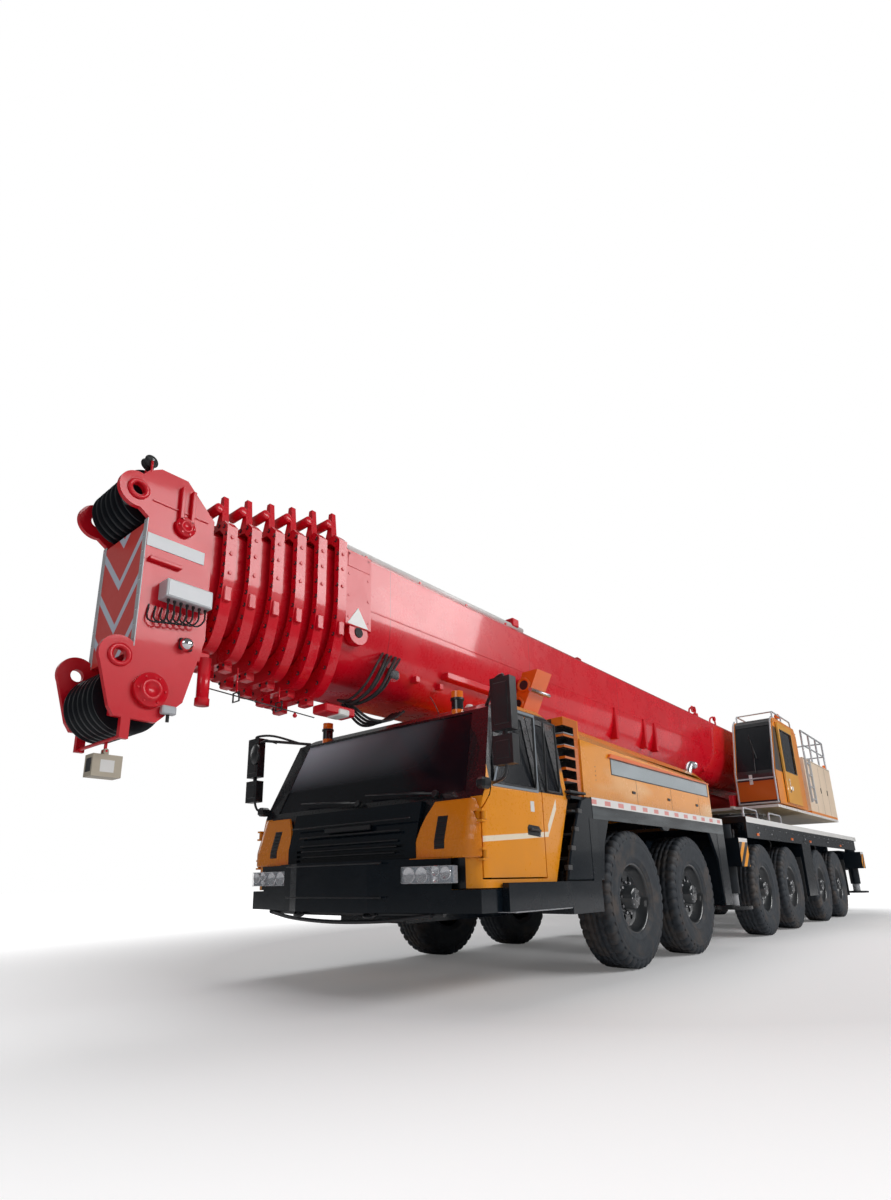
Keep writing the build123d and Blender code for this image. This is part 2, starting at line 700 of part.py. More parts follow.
# Boom rest: a saddle on the hood's front end
rest_x = axle_1 + 600
rest_half_length = 150
rest_horn = 3130
hood_slope = (hood_top_front - hood_top_rear) / (hood_front - hood_rear)
rest_foot = hood_top_front - (hood_front - rest_x - rest_half_length) * hood_slope + running_gap
with BuildPart() as rest:
    with BuildSketch(at_x(rest_x - rest_half_length)):
        Polygon((-420, rest_foot), (420, rest_foot), (560, base_bottom - 60), (880, rest_horn),
                (680, rest_horn), (500, base_bottom + 120), (330, base_bottom - 20), (-330, base_bottom - 20),
                (-500, base_bottom + 120), (-680, rest_horn), (-880, rest_horn), (-560, base_bottom - 60),
                align=None)
    extrude(amount=2 * rest_half_length)
save(rest, "boom_rest")



def mirror_arm(side):
    """The line of a mirror's arm, from inside the roof's front corner to the mirror's top."""
    return Vector(axle_1 + 2605 - cab_roof_front + 80, side * (1600 - cab_roof_half + 80), 2420 - cab_header - 40)


# Mirrors on arms from the roof's front corners
with BuildPart() as mirrors:
    for side in (1, -1):
        y = side * 1660
        block(axle_1 + 2560, axle_1 + 2650, *sorted((y - 95, y + 95)), 2010, 2440)
        block(axle_1 + 2560, axle_1 + 2650, *sorted((y - 95, y + 95)), 1740, 1970)
        block(axle_1 + 2590, axle_1 + 2620, *sorted((y - 15, y + 15)), 1960, 2020)
        round_bar((cab_roof_front - 80, side * (cab_roof_half - 80), cab_header + 40), mirror_arm(side), 16,
                  mirror_arm(side).length)
    add(cab_form(-running_gap), mode=Mode.SUBTRACT)
save(mirrors, "mirrors")

# Lamps: headlamps in the bumper, beacons on the cab roof, tail lamps at the rear
with BuildPart() as lamps:
    for y in (lamp_y, -lamp_y):
        block(bumper_corner_x + 60 + running_gap, bumper_corner_x + 60 + lamp_depth, y - lamp_width / 2 + 1,
              y + lamp_width / 2 - 1, lamp_z - lamp_height / 2 + 1, lamp_z + lamp_height / 2 - 1)
    for y in (900, -900):
        rod_z(cab_roof_front - 60, y, 55, cab_header, cab_roof + 75)
    add(cab_form(-running_gap), mode=Mode.SUBTRACT)
save(lamps, "lamps")


def boom_outline(half, top, bottom):
    """A boom section in cross view: flat top, upright sides and a rounded belly."""
    flat = half * bottom_flat_share
    with BuildLine() as outline:
        Polyline((-half, bend_z), (-half, top - top_chamfer), (top_chamfer - half, top),
                 (half - top_chamfer, top), (half, top - top_chamfer), (half, bend_z))
        EllipticalCenterArc((flat, bend_z), half - flat, bend_z - bottom, start_angle=0, arc_size=-90)
        Line((flat, bottom), (-flat, bottom))
        EllipticalCenterArc((-flat, bend_z), half - flat, bend_z - bottom, start_angle=270, arc_size=-90)
    make_face(outline.edges())


# Boom sections: each a thin tube that slides in the one outside it, with a collar at its front; the
# last one carries the head, two cheeks with jib lugs, a front plate and the sheave pins
def section_half(n):
    return base_half - n * width_step


def section_top(n):
    return base_top - n * top_step


def section_bottom(n):
    return base_bottom + n * bottom_step


for n in range(section_count):
    front = base_front + n * collar_pitch
    tail = base_tail if n == 0 else section_tail + n * tail_step
    last = n == section_count - 1
    tube_front = head_rear + 60 if last else front
    half, top, bottom = section_half(n), section_top(n), section_bottom(n)
    with BuildPart() as section:
        with BuildSketch(at_x(tail)):
            boom_outline(half, top, bottom)
        extrude(amount=tube_front - tail)
        if not last:
            with BuildSketch(at_x(front - collar_length)):
                boom_outline(half + collar_stand, top + collar_rise, bottom - collar_drop)
            extrude(amount=collar_length)
        with BuildSketch(at_x(tail - 1)):
            boom_outline(half - section_wall, top - section_wall, bottom + section_wall)
        extrude(amount=tube_front - tail + 2, mode=Mode.SUBTRACT)
        if not last:
            inner_half, inner_top, inner_bottom = section_half(n + 1), section_top(n + 1), section_bottom(n + 1)
            for y in (-inner_half * 0.5, inner_half * 0.5):
                block(front - pad_length, front, y - pad_width / 2, y + pad_width / 2,
                      inner_top + running_gap, top - section_wall / 2)
            for y in (-inner_half * 0.25, inner_half * 0.25):
                block(front - pad_length, front, y - pad_width / 2, y + pad_width / 2,
                      bottom + section_wall / 2, inner_bottom - running_gap)
            for side in (1, -1):
                fin_y = side * (half - 140)
                with BuildSketch(at_x(front - collar_length)):
                    Polygon((fin_y - fin_width / 2, top), (fin_y + fin_width / 2, top),
                            (fin_y + 20, top + fin_height), (fin_y - 20, top + fin_height), align=None)
                extrude(amount=collar_length / 2)
        if n == 0:
            for side in (1, -1):
                low, high = sorted((side * (cheek_y - 230), side * (cheek_y - 90)))
                with BuildSketch(at_y(high)):
                    Polygon((base_tail + 400, base_bottom + 200), (base_tail + 400, base_top - 250),
                            (pivot_x, pivot_z + 200), (pivot_x, pivot_z - 200), align=None)
                    with Locations((pivot_x, pivot_z)):
                        Circle(200)
                extrude(amount=high - low)
                low, high = sorted((side * (luff_eye_half + 12), side * (luff_eye_half + 72)))
                with BuildSketch(at_y(high)):
                    Polygon((luff_head_x - 420, bend_z - 300), (luff_head_x - 420, base_bottom + 10),
                            (luff_head_x - 110, luff_head_z - 100), (luff_head_x + 110, luff_head_z - 100),
                            (luff_head_x + 420, base_bottom + 10), (luff_head_x + 420, bend_z - 300),
                            align=None)
                extrude(amount=high - low)
            with BuildSketch(at_x(tail + 300)):
                boom_outline(section_half(0) - section_wall - 1, base_top - section_wall - 1,
                             base_bottom + section_wall + 1)
            extrude(amount=front - pad_length - 1 - tail - 300, mode=Mode.SUBTRACT)
            for side in (1, -1):
                low, high = sorted((side * (luff_eye_half + 2), side * (luff_eye_half + 90)))
                rod_y(luff_head_x, luff_head_z, luff_pin_radius, low, high)
            rod_y(pivot_x, pivot_z, pivot_pin_radius + running_gap, -700, 700, mode=Mode.SUBTRACT)
        if last:
            for side in (1, -1):
                low, high = sorted((side * cheek_in, side * cheek_out))
                with BuildSketch(at_y(high)):
                    Polygon((head_rear, head_bottom + 660), (head_rear, 3560), (head_rear + 190, 3750),
                            (head_rear + 240, head_top), (head_face - 60, head_top),
                            (upper_lug[0] - 60, 3745), (upper_lug[0] + 105, upper_lug[1] - 40),
                            (head_face, 3390), (head_face, 2440), (lower_lug[0] + 120, lower_lug[1] - 60),
                            (head_face + 120, head_bottom + 60), (head_face + 80, head_bottom),
                            (head_face - 200, head_bottom), (head_rear + 130, head_bottom + 170),
                            align=None)
                    for lug in (upper_lug, lower_lug):
                        with Locations(lug):
                            Circle(lug_radius)
                extrude(amount=high - low)
            block(head_face - 30, head_face, -cheek_in - 10, cheek_in + 10, face_bottom, face_top)
            block(head_rear, head_rear + 60, -cheek_in - 10, cheek_in + 10, face_bottom, bottom + 20)
            for centre in (upper_sheave, lower_sheave):
                rod_y(*centre, sheave_pin_radius, -cheek_in - 10, cheek_in + 10)
            for side in (1, -1):
                block(weight_x - 30, weight_x + 30, *sorted((side * cheek_in, side * cheek_out)),
                      weight_bar_z - 20, head_bottom + 20)
            rod_y(weight_x, weight_bar_z, weight_bar_radius, -cheek_in - 10, cheek_in + 10)
            block(weight_x - weight_link, weight_x + weight_link, weight_y - weight_link,
                  weight_y + weight_link, weight_pin_z, weight_bar_z)
            rod_y(weight_x, weight_pin_z, 14, weight_y - weight_link, weight_y + weight_link)
            rod_y(weight_x, weight_pin_z, weight_pin_radius, weight_y - 3 * weight_link,
                  weight_y + 3 * weight_link)
            for lug in (upper_lug, lower_lug):
                rod_y(*lug, lug_hole_radius, -cheek_out - 1, cheek_out + 1, mode=Mode.SUBTRACT)
    save(section, f"boom_section_{n + 1}")

# Sheaves: a pack of grooved pulleys on each pin of the head
for name, centre, radius in (("upper_sheaves", upper_sheave, upper_sheave_radius),
                             ("lower_sheaves", lower_sheave, lower_sheave_radius)):
    with BuildPart() as pack:
        with BuildSketch(Plane(origin=(centre[0], 0, centre[1]), x_dir=(0, 1, 0), z_dir=(1, 0, 0))):
            Polygon((-sheave_half, sheave_pin_radius + running_gap), (sheave_half, sheave_pin_radius + running_gap),
                    (sheave_half, radius), (-sheave_half, radius), align=None)
            with Locations((0, radius)):
                with GridLocations(groove_pitch, 0, 6, 1):
                    Polygon((-28, 1), (28, 1), (10, -45), (-10, -45), align=None, mode=Mode.SUBTRACT)
        revolve(axis=Axis((centre[0], 0, centre[1]), (0, 1, 0)))
    save(pack, name)

# Switch weight: hangs by two ears from the link under the head's lowest bar
with BuildPart() as weight:
    block(weight_x - 95, weight_x + 95, weight_y - 60, weight_y + 60, 1570, weight_pin_z - 30)
    for y_low in (weight_y - 3 * weight_link, weight_y + weight_link + 4):
        y_high = y_low + 2 * weight_link - 4
        block(weight_x - 16, weight_x + 16, y_low, y_high, weight_pin_z - 35, weight_pin_z)
        rod_y(weight_x, weight_pin_z, 16, y_low, y_high)
    rod_y(weight_x, weight_pin_z, weight_pin_radius + running_gap, weight_y - 60, weight_y + 60,
          mode=Mode.SUBTRACT)
save(weight, "switch_weight")

# Superstructure: the turning frame with its ring, deck and boom cheeks
with BuildPart() as upper:
    rod_z(slew_x, 0, slew_radius - 60, slew_seat_top + running_gap, upper_bottom + 10)
    block(upper_rear, upper_front, -upper_half, upper_half, upper_bottom, upper_bottom + upper_plate)
    for side in (1, -1):
        low, high = sorted((side * cheek_y, side * (cheek_y + cheek_thickness)))
        with BuildSketch(at_y(high)):
            Polygon((upper_front + 100, upper_bottom + 20), (upper_front + 100, upper_bottom + 260),
                    (pivot_x + 1400, upper_bottom + 520), (pivot_x + 260, pivot_z + 180),
                    (pivot_x - 260, pivot_z + 180), (upper_rear + 60, upper_bottom + 700),
                    (upper_rear + 60, upper_bottom + 20), align=None)
        extrude(amount=high - low)
        low, high = sorted((side * (cheek_y - 80), side * (cheek_y + 10)))
        rod_y(pivot_x, pivot_z, 190, low, high)
        low, high = sorted((side * (luff_eye_half + 12), side * (luff_eye_half + 72)))
        with BuildSketch(at_y(high)):
            Polygon((luff_foot_x - 260, upper_bottom + 20), (luff_foot_x - 90, luff_foot_z + 110),
                    (luff_foot_x + 90, luff_foot_z + 110), (luff_foot_x + 260, upper_bottom + 20), align=None)
        extrude(amount=high - low)
    rod_y(pivot_x, pivot_z, pivot_pin_radius, -cheek_y, cheek_y)
    rod_y(luff_foot_x, luff_foot_z, luff_pin_radius, -luff_eye_half - 50, luff_eye_half + 50)
    rod_y(drum_x, drum_z, 60, -cheek_y, cheek_y)
    for y in tilt_ears:
        for low in (y - 52, y + 32):
            block(tilt_x - 60, tilt_x + 30, low, low + 20, upper_bottom + upper_plate - 10, tilt_z + 40)
        rod_y(tilt_x, tilt_z, tilt_pin_radius, y - 52, y + 52)
        block(upper_cab_front - 300, upper_cab_front - 180, y - 50, y + 50, upper_bottom + upper_plate - 10,
              upper_cab_floor - running_gap)
save(upper, "upper_frame")

# Machinery houses beside the boom cheeks, with hand rails
with BuildPart() as house:
    for side in (1, -1):
        house_low = upper_cab_rear if side == -1 else house_front
        front = upper_front - 80 if side == -1 else house_front
        low, high = sorted((side * (cheek_y + cheek_thickness + house_gap), side * upper_half))
        block(upper_rear, front, low, high, upper_bottom + upper_plate + running_gap, house_top)
save(house, "machinery_house")


def upper_cab_form(inset):
    """The operator's cab as a closed body, each wall moved in by inset."""
    with BuildPart() as form:
        with BuildSketch(at_y(upper_cab_outer - inset)):
            Polygon((upper_cab_front, upper_cab_floor), (upper_cab_front, upper_cab_floor + 560),
                    (upper_cab_front - 330, upper_cab_roof - 90), (upper_cab_front - 480, upper_cab_roof),
                    (upper_cab_rear + 120, upper_cab_roof), (upper_cab_rear, upper_cab_roof - 160),
                    (upper_cab_rear, upper_cab_floor), align=None)
            if inset:
                offset(amount=-inset, kind=Kind.INTERSECTION)
        extrude(amount=upper_cab_outer - upper_cab_inner - 2 * inset)
    return form.part


# Operator's cab: hollow, with its front glass, side glass and sliding door
upper_outside = upper_cab_form(0)
upper_inside = upper_cab_form(upper_cab_wall)
upper_glass_out = upper_cab_form(8)
upper_glass_in = upper_cab_form(14)
upper_door_front = upper_cab_front - 500
upper_door_rear = upper_cab_rear + 560
with BuildPart() as upper_cab:
    add(upper_outside)
    add(upper_inside, mode=Mode.SUBTRACT)
    block(upper_cab_front - 420, upper_cab_front + 50, upper_cab_inner + 60, upper_cab_outer - 60,
          upper_cab_floor + 620, upper_cab_roof - 160, mode=Mode.SUBTRACT)
    block(upper_door_rear - 10, upper_door_front + 10, upper_cab_outer - 100, upper_cab_outer + 50,
          upper_cab_floor + 60, upper_cab_roof - 130, mode=Mode.SUBTRACT)
    for y in tilt_ears:
        block(tilt_x, upper_cab_rear + 10, y - 30, y + 30, tilt_z - tilt_ear_radius, tilt_z + tilt_ear_radius)
        rod_y(tilt_x, tilt_z, tilt_ear_radius, y - 30, y + 30)
        rod_y(tilt_x, tilt_z, tilt_pin_radius + running_gap, y - 40, y + 40, mode=Mode.SUBTRACT)
    for z_low in (upper_cab_floor + 20, upper_cab_roof - 128):
        block(upper_cab_rear + 20, upper_door_front, upper_cab_outer - 10,
              upper_cab_outer + slide_gap - running_gap, z_low + 22, z_low + 38)
save(upper_cab, "upper_cab")

with BuildPart() as upper_panes:
    add(upper_glass_out)
    add(upper_glass_in, mode=Mode.SUBTRACT)
    block(upper_cab_front - 420 + glass_gap, upper_cab_front + 50, upper_cab_inner + 60 + glass_gap,
          upper_cab_outer - 60 - glass_gap, upper_cab_floor + 620 + glass_gap,
          upper_cab_roof - 160 - glass_gap, mode=Mode.INTERSECT)
save(upper_panes, "upper_cab_glass")

with BuildPart() as slider:
    block(upper_door_rear, upper_door_front, upper_cab_outer + slide_gap, upper_cab_outer + slide_gap + 30,
          upper_cab_floor + 40, upper_cab_roof - 90)
    block(upper_door_rear + 90, upper_door_front - 90, upper_cab_outer, upper_cab_outer + 50,
          upper_cab_floor + 640, upper_cab_roof - 220, mode=Mode.SUBTRACT)
    block(upper_door_rear + 90 + glass_gap, upper_door_front - 90 - glass_gap, upper_cab_outer + 18,
          upper_cab_outer + 24, upper_cab_floor + 640 + glass_gap, upper_cab_roof - 220 - glass_gap)
save(slider, "upper_cab_door")

# Hoist drum between the cheeks
with BuildPart() as drum:
    with BuildSketch(Plane(origin=(drum_x, 0, drum_z), x_dir=(0, 1, 0), z_dir=(1, 0, 0))):
        bore = 60 + running_gap
        Polygon((-drum_half, bore), (drum_half, bore), (drum_half, flange_radius),
                (drum_half - 40, flange_radius), (drum_half - 40, drum_radius),
                (40 - drum_half, drum_radius), (40 - drum_half, flange_radius), (-drum_half, flange_radius),
                align=None)
    revolve(axis=Axis((drum_x, 0, drum_z), (0, 1, 0)))
save(drum, "hoist_drum")

# Luffing cylinder: the barrel turns on the frame's pin, the rod's eye takes the boom's pin
luff_line = Vector(luff_head_x - luff_foot_x, 0, luff_head_z - luff_foot_z)
luff_length = luff_line.length
luff_plane = Plane(origin=(luff_foot_x, 0, luff_foot_z), x_dir=(0, 1, 0), z_dir=luff_line)
barrel_end = luff_length - luff_head_neck
with BuildPart() as barrel:
    with BuildSketch(luff_plane.offset(luff_neck)):
        Circle(luff_barrel_radius)
    extrude(amount=barrel_end - luff_neck)
    rod_y(luff_foot_x, luff_foot_z, luff_eye_radius, -luff_eye_half, luff_eye_half)
    with BuildSketch(luff_plane):
        Rectangle(2 * luff_eye_half, 1.6 * luff_eye_radius)
    extrude(amount=luff_neck + 20)
    with BuildSketch(luff_plane.offset(luff_neck + 60)):
        Circle(luff_rod_radius + running_gap)
    extrude(amount=luff_length, mode=Mode.SUBTRACT)
    rod_y(luff_foot_x, luff_foot_z, luff_pin_radius + running_gap, -200, 200, mode=Mode.SUBTRACT)
save(barrel, "luff_barrel")

with BuildPart() as rod:
    with BuildSketch(luff_plane.offset(luff_neck + 100)):
        Circle(luff_rod_radius)
    extrude(amount=luff_length - luff_neck - 160)
    rod_y(luff_head_x, luff_head_z, luff_eye_radius, -luff_eye_half, luff_eye_half)
    rod_y(luff_head_x, luff_head_z, luff_pin_radius + running_gap, -luff_eye_half - 1, luff_eye_half + 1,
          mode=Mode.SUBTRACT)
save(rod, "luff_rod")
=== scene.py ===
"""Looks of the six-axle mobile crane: finishes for the frame's nodes, and the fittings that dress them.

Everything is in metres in the row frame: +X forward, +Y to the vehicle's left, +Z up.
"""
import bpy
import math
import numpy as np
from mathutils import Matrix, Vector


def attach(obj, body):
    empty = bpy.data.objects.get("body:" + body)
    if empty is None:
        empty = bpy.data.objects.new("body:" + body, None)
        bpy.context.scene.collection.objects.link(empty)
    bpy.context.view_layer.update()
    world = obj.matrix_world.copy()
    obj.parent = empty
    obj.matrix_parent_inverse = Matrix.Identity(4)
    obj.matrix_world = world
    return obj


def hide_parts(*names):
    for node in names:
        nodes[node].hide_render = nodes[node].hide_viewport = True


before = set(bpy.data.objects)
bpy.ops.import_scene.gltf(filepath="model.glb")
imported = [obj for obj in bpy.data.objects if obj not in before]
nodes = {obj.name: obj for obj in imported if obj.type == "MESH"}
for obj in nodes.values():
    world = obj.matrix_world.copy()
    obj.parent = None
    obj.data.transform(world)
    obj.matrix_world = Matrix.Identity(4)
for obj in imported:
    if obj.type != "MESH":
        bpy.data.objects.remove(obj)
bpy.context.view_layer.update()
FIRST_AXLE = 4.25
AXLES = [FIRST_AXLE - d for d in (0, 1.65, 4.77, 6.42, 8.75, 10.4)]
WHEEL_Y, WHEEL_Z, TYRE_RADIUS = 1.2575, 0.685, 0.685


def at(x):
    """An x measured from the first axle, as an x of the row frame."""
    return FIRST_AXLE + x


# Shader expressions
class Val:
    """A socket that takes part in arithmetic: each expression adds its Math node."""

    def __init__(self, finish, socket):
        self.finish, self.socket = finish, socket

    def math(self, kind, *others, clamp=False):
        sockets = {i: v for i, v in enumerate((self,) + others)}
        return self.finish.node("Math", {"operation": kind, "use_clamp": clamp}, sockets)

    def __add__(self, o): return self.math("ADD", o)
    def __radd__(self, o): return self.math("ADD", o)
    def __sub__(self, o): return self.math("SUBTRACT", o)
    def __rsub__(self, o): return self.math("MULTIPLY", -1.0) + o
    def __mul__(self, o): return self.math("MULTIPLY", o)
    def __rmul__(self, o): return self.math("MULTIPLY", o)
    def __truediv__(self, o): return self.math("DIVIDE", o)
    def __abs__(self): return self.math("ABSOLUTE")
    def __mod__(self, o): return self.math("FLOORED_MODULO", o)
    def __or__(self, o): return self.math("MAXIMUM", o)
    def sine(self): return self.math("SINE")
    def clamped(self): return self.math("ADD", 0.0, clamp=True)
    def over(self, low, soft=0.003): return ((self - low) / soft + 0.5).clamped()
    def under(self, high, soft=0.003): return ((high - self) / soft + 0.5).clamped()
    def between(self, low, high, soft=0.003): return self.over(low, soft) * self.under(high, soft)


class Finish:
    """One procedural finish on object coordinates."""

    def __init__(self, name, colour, rough=0.4, metal=0.0, coat=0.0, alpha=1.0, spec=0.5):
        self.material = bpy.data.materials.new(name)
        self.material.use_nodes = True
        self.tree = self.material.node_tree
        self.shader = self.tree.nodes["Principled BSDF"]
        for socket, value in (("Base Color", (*colour, 1)), ("Roughness", rough), ("Metallic", metal),
                              ("Coat Weight", coat), ("Coat Roughness", 0.05), ("Alpha", alpha),
                              ("Specular IOR Level", spec)):
            self.shader.inputs[socket].default_value = value
        self.colour = (*colour, 1)
        self.place = self.node("TexCoord", out="Object")
        self.x, self.y, self.z = self.split(self.place)
        self.nx, self.ny, self.nz = self.split(self.node("NewGeometry", out="Normal"))

    def node(self, kind, settings=None, sockets=None, out=0):
        """Any node: its type, its settings, the values or links of its sockets, and the output wanted."""
        n = self.tree.nodes.new("ShaderNode" + kind)
        for key, value in (settings or {}).items():
            setattr(n, key, value)
        for key, value in (sockets or {}).items():
            if isinstance(value, Val):
                self.tree.links.new(value.socket, n.inputs[key])
            else:
                n.inputs[key].default_value = value
        return Val(self, n.outputs[out])

    def split(self, vector):
        n = self.node("SeparateXYZ", sockets={0: vector})
        return [Val(self, n.socket.node.outputs[i]) for i in range(3)]

    def noise(self, scale, detail=4, rough=0.55, stretch=None):
        place = self.place
        if stretch:
            place = self.node("Mapping", sockets={"Vector": place, "Scale": stretch})
        return self.node("TexNoise", sockets={"Vector": place, "Scale": scale, "Detail": detail,
                                              "Roughness": rough})

    def lay(self, mask, colour):
        """Lays a colour over what is there, where the mask is 1."""
        value = Val(self, self.colour) if not isinstance(self.colour, tuple) else self.colour
        mixed = self.node("Mix", {"data_type": "RGBA"}, {0: mask, 6: value, 7: (*colour, 1)}, out=2)
        self.colour = mixed.socket
        self.tree.links.new(self.colour, self.shader.inputs["Base Color"])
        return self

    def drive(self, socket, value):
        self.tree.links.new(value.socket, self.shader.inputs[socket])
        return self

    def bump(self, height, depth):
        n = self.node("Bump", sockets={"Strength": 1.0, "Distance": depth, "Height": height})
        self.tree.links.new(n.socket, self.shader.inputs["Normal"])
        return self


def machine_paint(name, colour, rough=0.3, coat=0.6, dirt=0.3, dust=(0.26, 0.21, 0.17), vary=0.14, low=1.3,
                  spec=0.4):
    """Gloss paint: slow unevenness, orange peel, fine scuffs, and road dust that gathers low down."""
    f = Finish(name, colour, rough, coat=coat, spec=spec)
    f.lay(((f.noise(0.9, 3) - 0.35) * 2.2).clamped(), tuple(c * (1 - vary) for c in colour))
    f.lay(((f.noise(2.3, 5) - 0.55) * 2.4).clamped(), tuple(min(1.0, c * (1 + vary) + 0.008) for c in colour))
    fine = f.noise(38, 6, 0.7)
    gathers = ((low - f.z) / low + 0.12).clamped()
    dirty = ((f.noise(3.1, 7, 0.65) - 0.42) * 2.2 + (fine - 0.5) * 0.8).clamped() * gathers
    f.lay(dirty * dirt, dust)
    f.drive("Roughness", fine * 0.10 + (rough - 0.05) + dirty * 0.3)
    f.bump(f.noise(9, 3) + fine * 0.15, 0.0006)
    return f


def hazard(name, colour_1, colour_2, u, v, pitch):
    """Slanting stripes over two of the axes, with scuffs."""
    f = Finish(name, colour_1, 0.4, coat=0.3)
    line = getattr(f, u) + getattr(f, v)
    f.lay(((line + 20.0) / pitch % 1.0).over(0.5, 0.03), colour_2)
    f.lay(((f.noise(14, 6) - 0.55) * 1.5).clamped(), (0.2, 0.17, 0.14))
    f.drive("Roughness", f.noise(30, 4) * 0.2 + 0.3)
    return f


# Surfaces
def signed_volume(verts, faces):
    """Six times the volume inside a closed skin of quads, by summing the triple product of each half."""
    a, b, c, d = (verts[faces[:, i]] for i in range(4))
    return (np.einsum("ij,ij->i", a, np.cross(b, c)) + np.einsum("ij,ij->i", a, np.cross(c, d))).sum()


def drawn_in(outline, amount):
    """An outline put anticlockwise, and the same drawn in square to its sides by an amount."""
    pts = np.asarray(outline, float)
    if (pts[:, 0] * np.roll(pts[:, 1], -1) - np.roll(pts[:, 0], -1) * pts[:, 1]).sum() < 0:
        pts = pts[::-1]
    e, g = pts - np.roll(pts, 1, 0), np.roll(pts, -1, 0) - pts
    e /= np.maximum(np.linalg.norm(e, axis=1, keepdims=True), 1e-9)
    g /= np.maximum(np.linalg.norm(g, axis=1, keepdims=True), 1e-9)
    inward = np.stack((-e[:, 1] - g[:, 1], e[:, 0] + g[:, 0]), 1)
    return pts, pts + inward / np.maximum(0.35, 1 + (e * g).sum(1, keepdims=True)) * amount


ORDER = {"x": (2, 0, 1), "y": (0, 2, 1), "z": (0, 1, 2)}


class Fitting:
    """One object's faces, gathered shape by shape, each with its finish's place in the list."""

    def __init__(self):
        self.verts, self.faces, self.slots, self.soft, self.count = [], [], [], [], 0

    def skin(self, rows, slot=0, soft=True, round_u=False, round_v=False, caps=False, outward=True):
        """A surface over a grid of points, rows[u][v]. Closed ways wrap round; caps close its two ends."""
        rows = np.asarray(rows, float)
        nu, nv = rows.shape[:2]
        i, j = np.meshgrid(np.arange(nu if round_u else nu - 1), np.arange(nv if round_v else nv - 1),
                           indexing="ij")
        i, j = i.ravel(), j.ravel()
        k, m = (i + 1) % nu, (j + 1) % nv
        quads = np.stack((i * nv + j, k * nv + j, k * nv + m, i * nv + m), 1)
        verts = rows.reshape(-1, 3)
        ends = [np.arange(nv)[::-1], np.arange((nu - 1) * nv, nu * nv)] if caps else []
        volume = signed_volume(verts, quads)
        for end in ends:
            fan = np.stack((np.full(nv - 2, end[0]), end[1:-1], end[2:], end[2:]), 1)
            volume += signed_volume(verts, fan)
        flip = outward and volume < 0
        faces = (quads[:, ::-1] if flip else quads).tolist() + [(e[::-1] if flip else e).tolist() for e in ends]
        self.faces += [[self.count + p for p in f] for f in faces]
        self.verts.append(verts)
        self.count += len(verts)
        self.slots += [slot] * len(faces)
        self.soft += [soft] * len(quads) + [False] * len(ends)
        return self

    def slab(self, outline, low, high, axis="y", slot=0, edge=0.004, turn=None):
        """An outline across an axis carried from low to high, its rims drawn in by the edge."""
        pts, small = drawn_in(outline, edge)
        levels = [(low, small), (low + edge, pts), (high - edge, pts), (high, small)] if edge else \
                 [(low, pts), (high, pts)]
        rows = np.stack([np.column_stack((p, np.full(len(p), h)))[:, ORDER[axis]] for h, p in levels])
        if turn is not None:
            rows = rows @ np.array(turn[0]).T + np.array(turn[1])
        return self.skin(rows, slot, False, round_v=True, caps=True)

    def band(self, outline, width, low, high, axis="y", slot=0):
        """A flat frame round an outline, as wide as asked, outwards."""
        pts, out = drawn_in(outline, -width)
        rows = np.stack([np.column_stack((p, np.full(len(p), h)))[:, ORDER[axis]]
                         for h, p in ((low, pts), (high, pts), (high, out), (low, out))])
        return self.skin(rows, slot, False, round_u=True, round_v=True)

    def bar(self, a, b, radius, slot=0, n=10):
        """A straight round bar."""
        return self.pipe([a, b], radius, slot, n)

    def box(self, x0, x1, y0, y1, z0, z1, slot=0, edge=0.004, turn=None):
        """A block with drawn-in rims and clipped upright corners."""
        (x0, x1), (y0, y1), (z0, z1) = sorted((x0, x1)), sorted((y0, y1)), sorted((z0, z1))
        c = min(edge, (x1 - x0) / 3, (y1 - y0) / 3, (z1 - z0) / 3)
        ring = [(x0 + c, y0), (x1 - c, y0), (x1, y0 + c), (x1, y1 - c), (x1 - c, y1), (x0 + c, y1),
                (x0, y1 - c), (x0, y0 + c)]
        return self.slab(ring, z0, z1, "z", slot, c, turn)

    def pipe(self, path, radius, slot=0, n=10, closed=False):
        """A round bar along a line of points: a circle carried square to the line."""
        p = np.asarray(path, float)
        if closed:
            t = np.roll(p, -1, 0) - np.roll(p, 1, 0)
        else:
            t = np.gradient(p, axis=0)
        t /= np.linalg.norm(t, axis=1, keepdims=True)
        spread = np.linalg.svd(p - p.mean(0))[2]
        ref = spread[2] if len(p) > 2 else spread[1]
        side = np.cross(t, ref)
        weak = np.linalg.norm(side, axis=1) < 0.2
        side[weak] = np.cross(t[weak], spread[1])
        side /= np.linalg.norm(side, axis=1, keepdims=True)
        up = np.cross(t, side)
        a = np.arange(n) * 2 * math.pi / n
        r = np.broadcast_to(np.asarray(radius, float), (len(p),))[:, None, None]
        rows = p[:, None] + r * (side[:, None] * np.cos(a)[None, :, None] + up[:, None] * np.sin(a)[None, :, None])
        return self.skin(rows, slot, True, round_u=closed, round_v=True, caps=not closed)

    def turned(self, profile, centre, axis=(0, 1, 0), n=48, slot=0, soft=True):
        """A profile of (along, radius) pairs turned about an axis through a centre."""
        a = np.asarray(axis, float) / np.linalg.norm(axis)
        s = np.cross(a, (0, 0, 1.0))
        s = s if np.linalg.norm(s) > 0.1 else np.cross(a, (0, 1.0, 0))
        s /= np.linalg.norm(s)
        u = np.cross(a, s)
        t = np.arange(n) * 2 * math.pi / n
        ring = np.cos(t)[:, None] * s + np.sin(t)[:, None] * u
        h, r = np.asarray(profile, float).T
        rows = np.asarray(centre) + h[None, :, None] * a + r[None, :, None] * ring[:, None]
        return self.skin(rows, slot, soft, round_u=True)

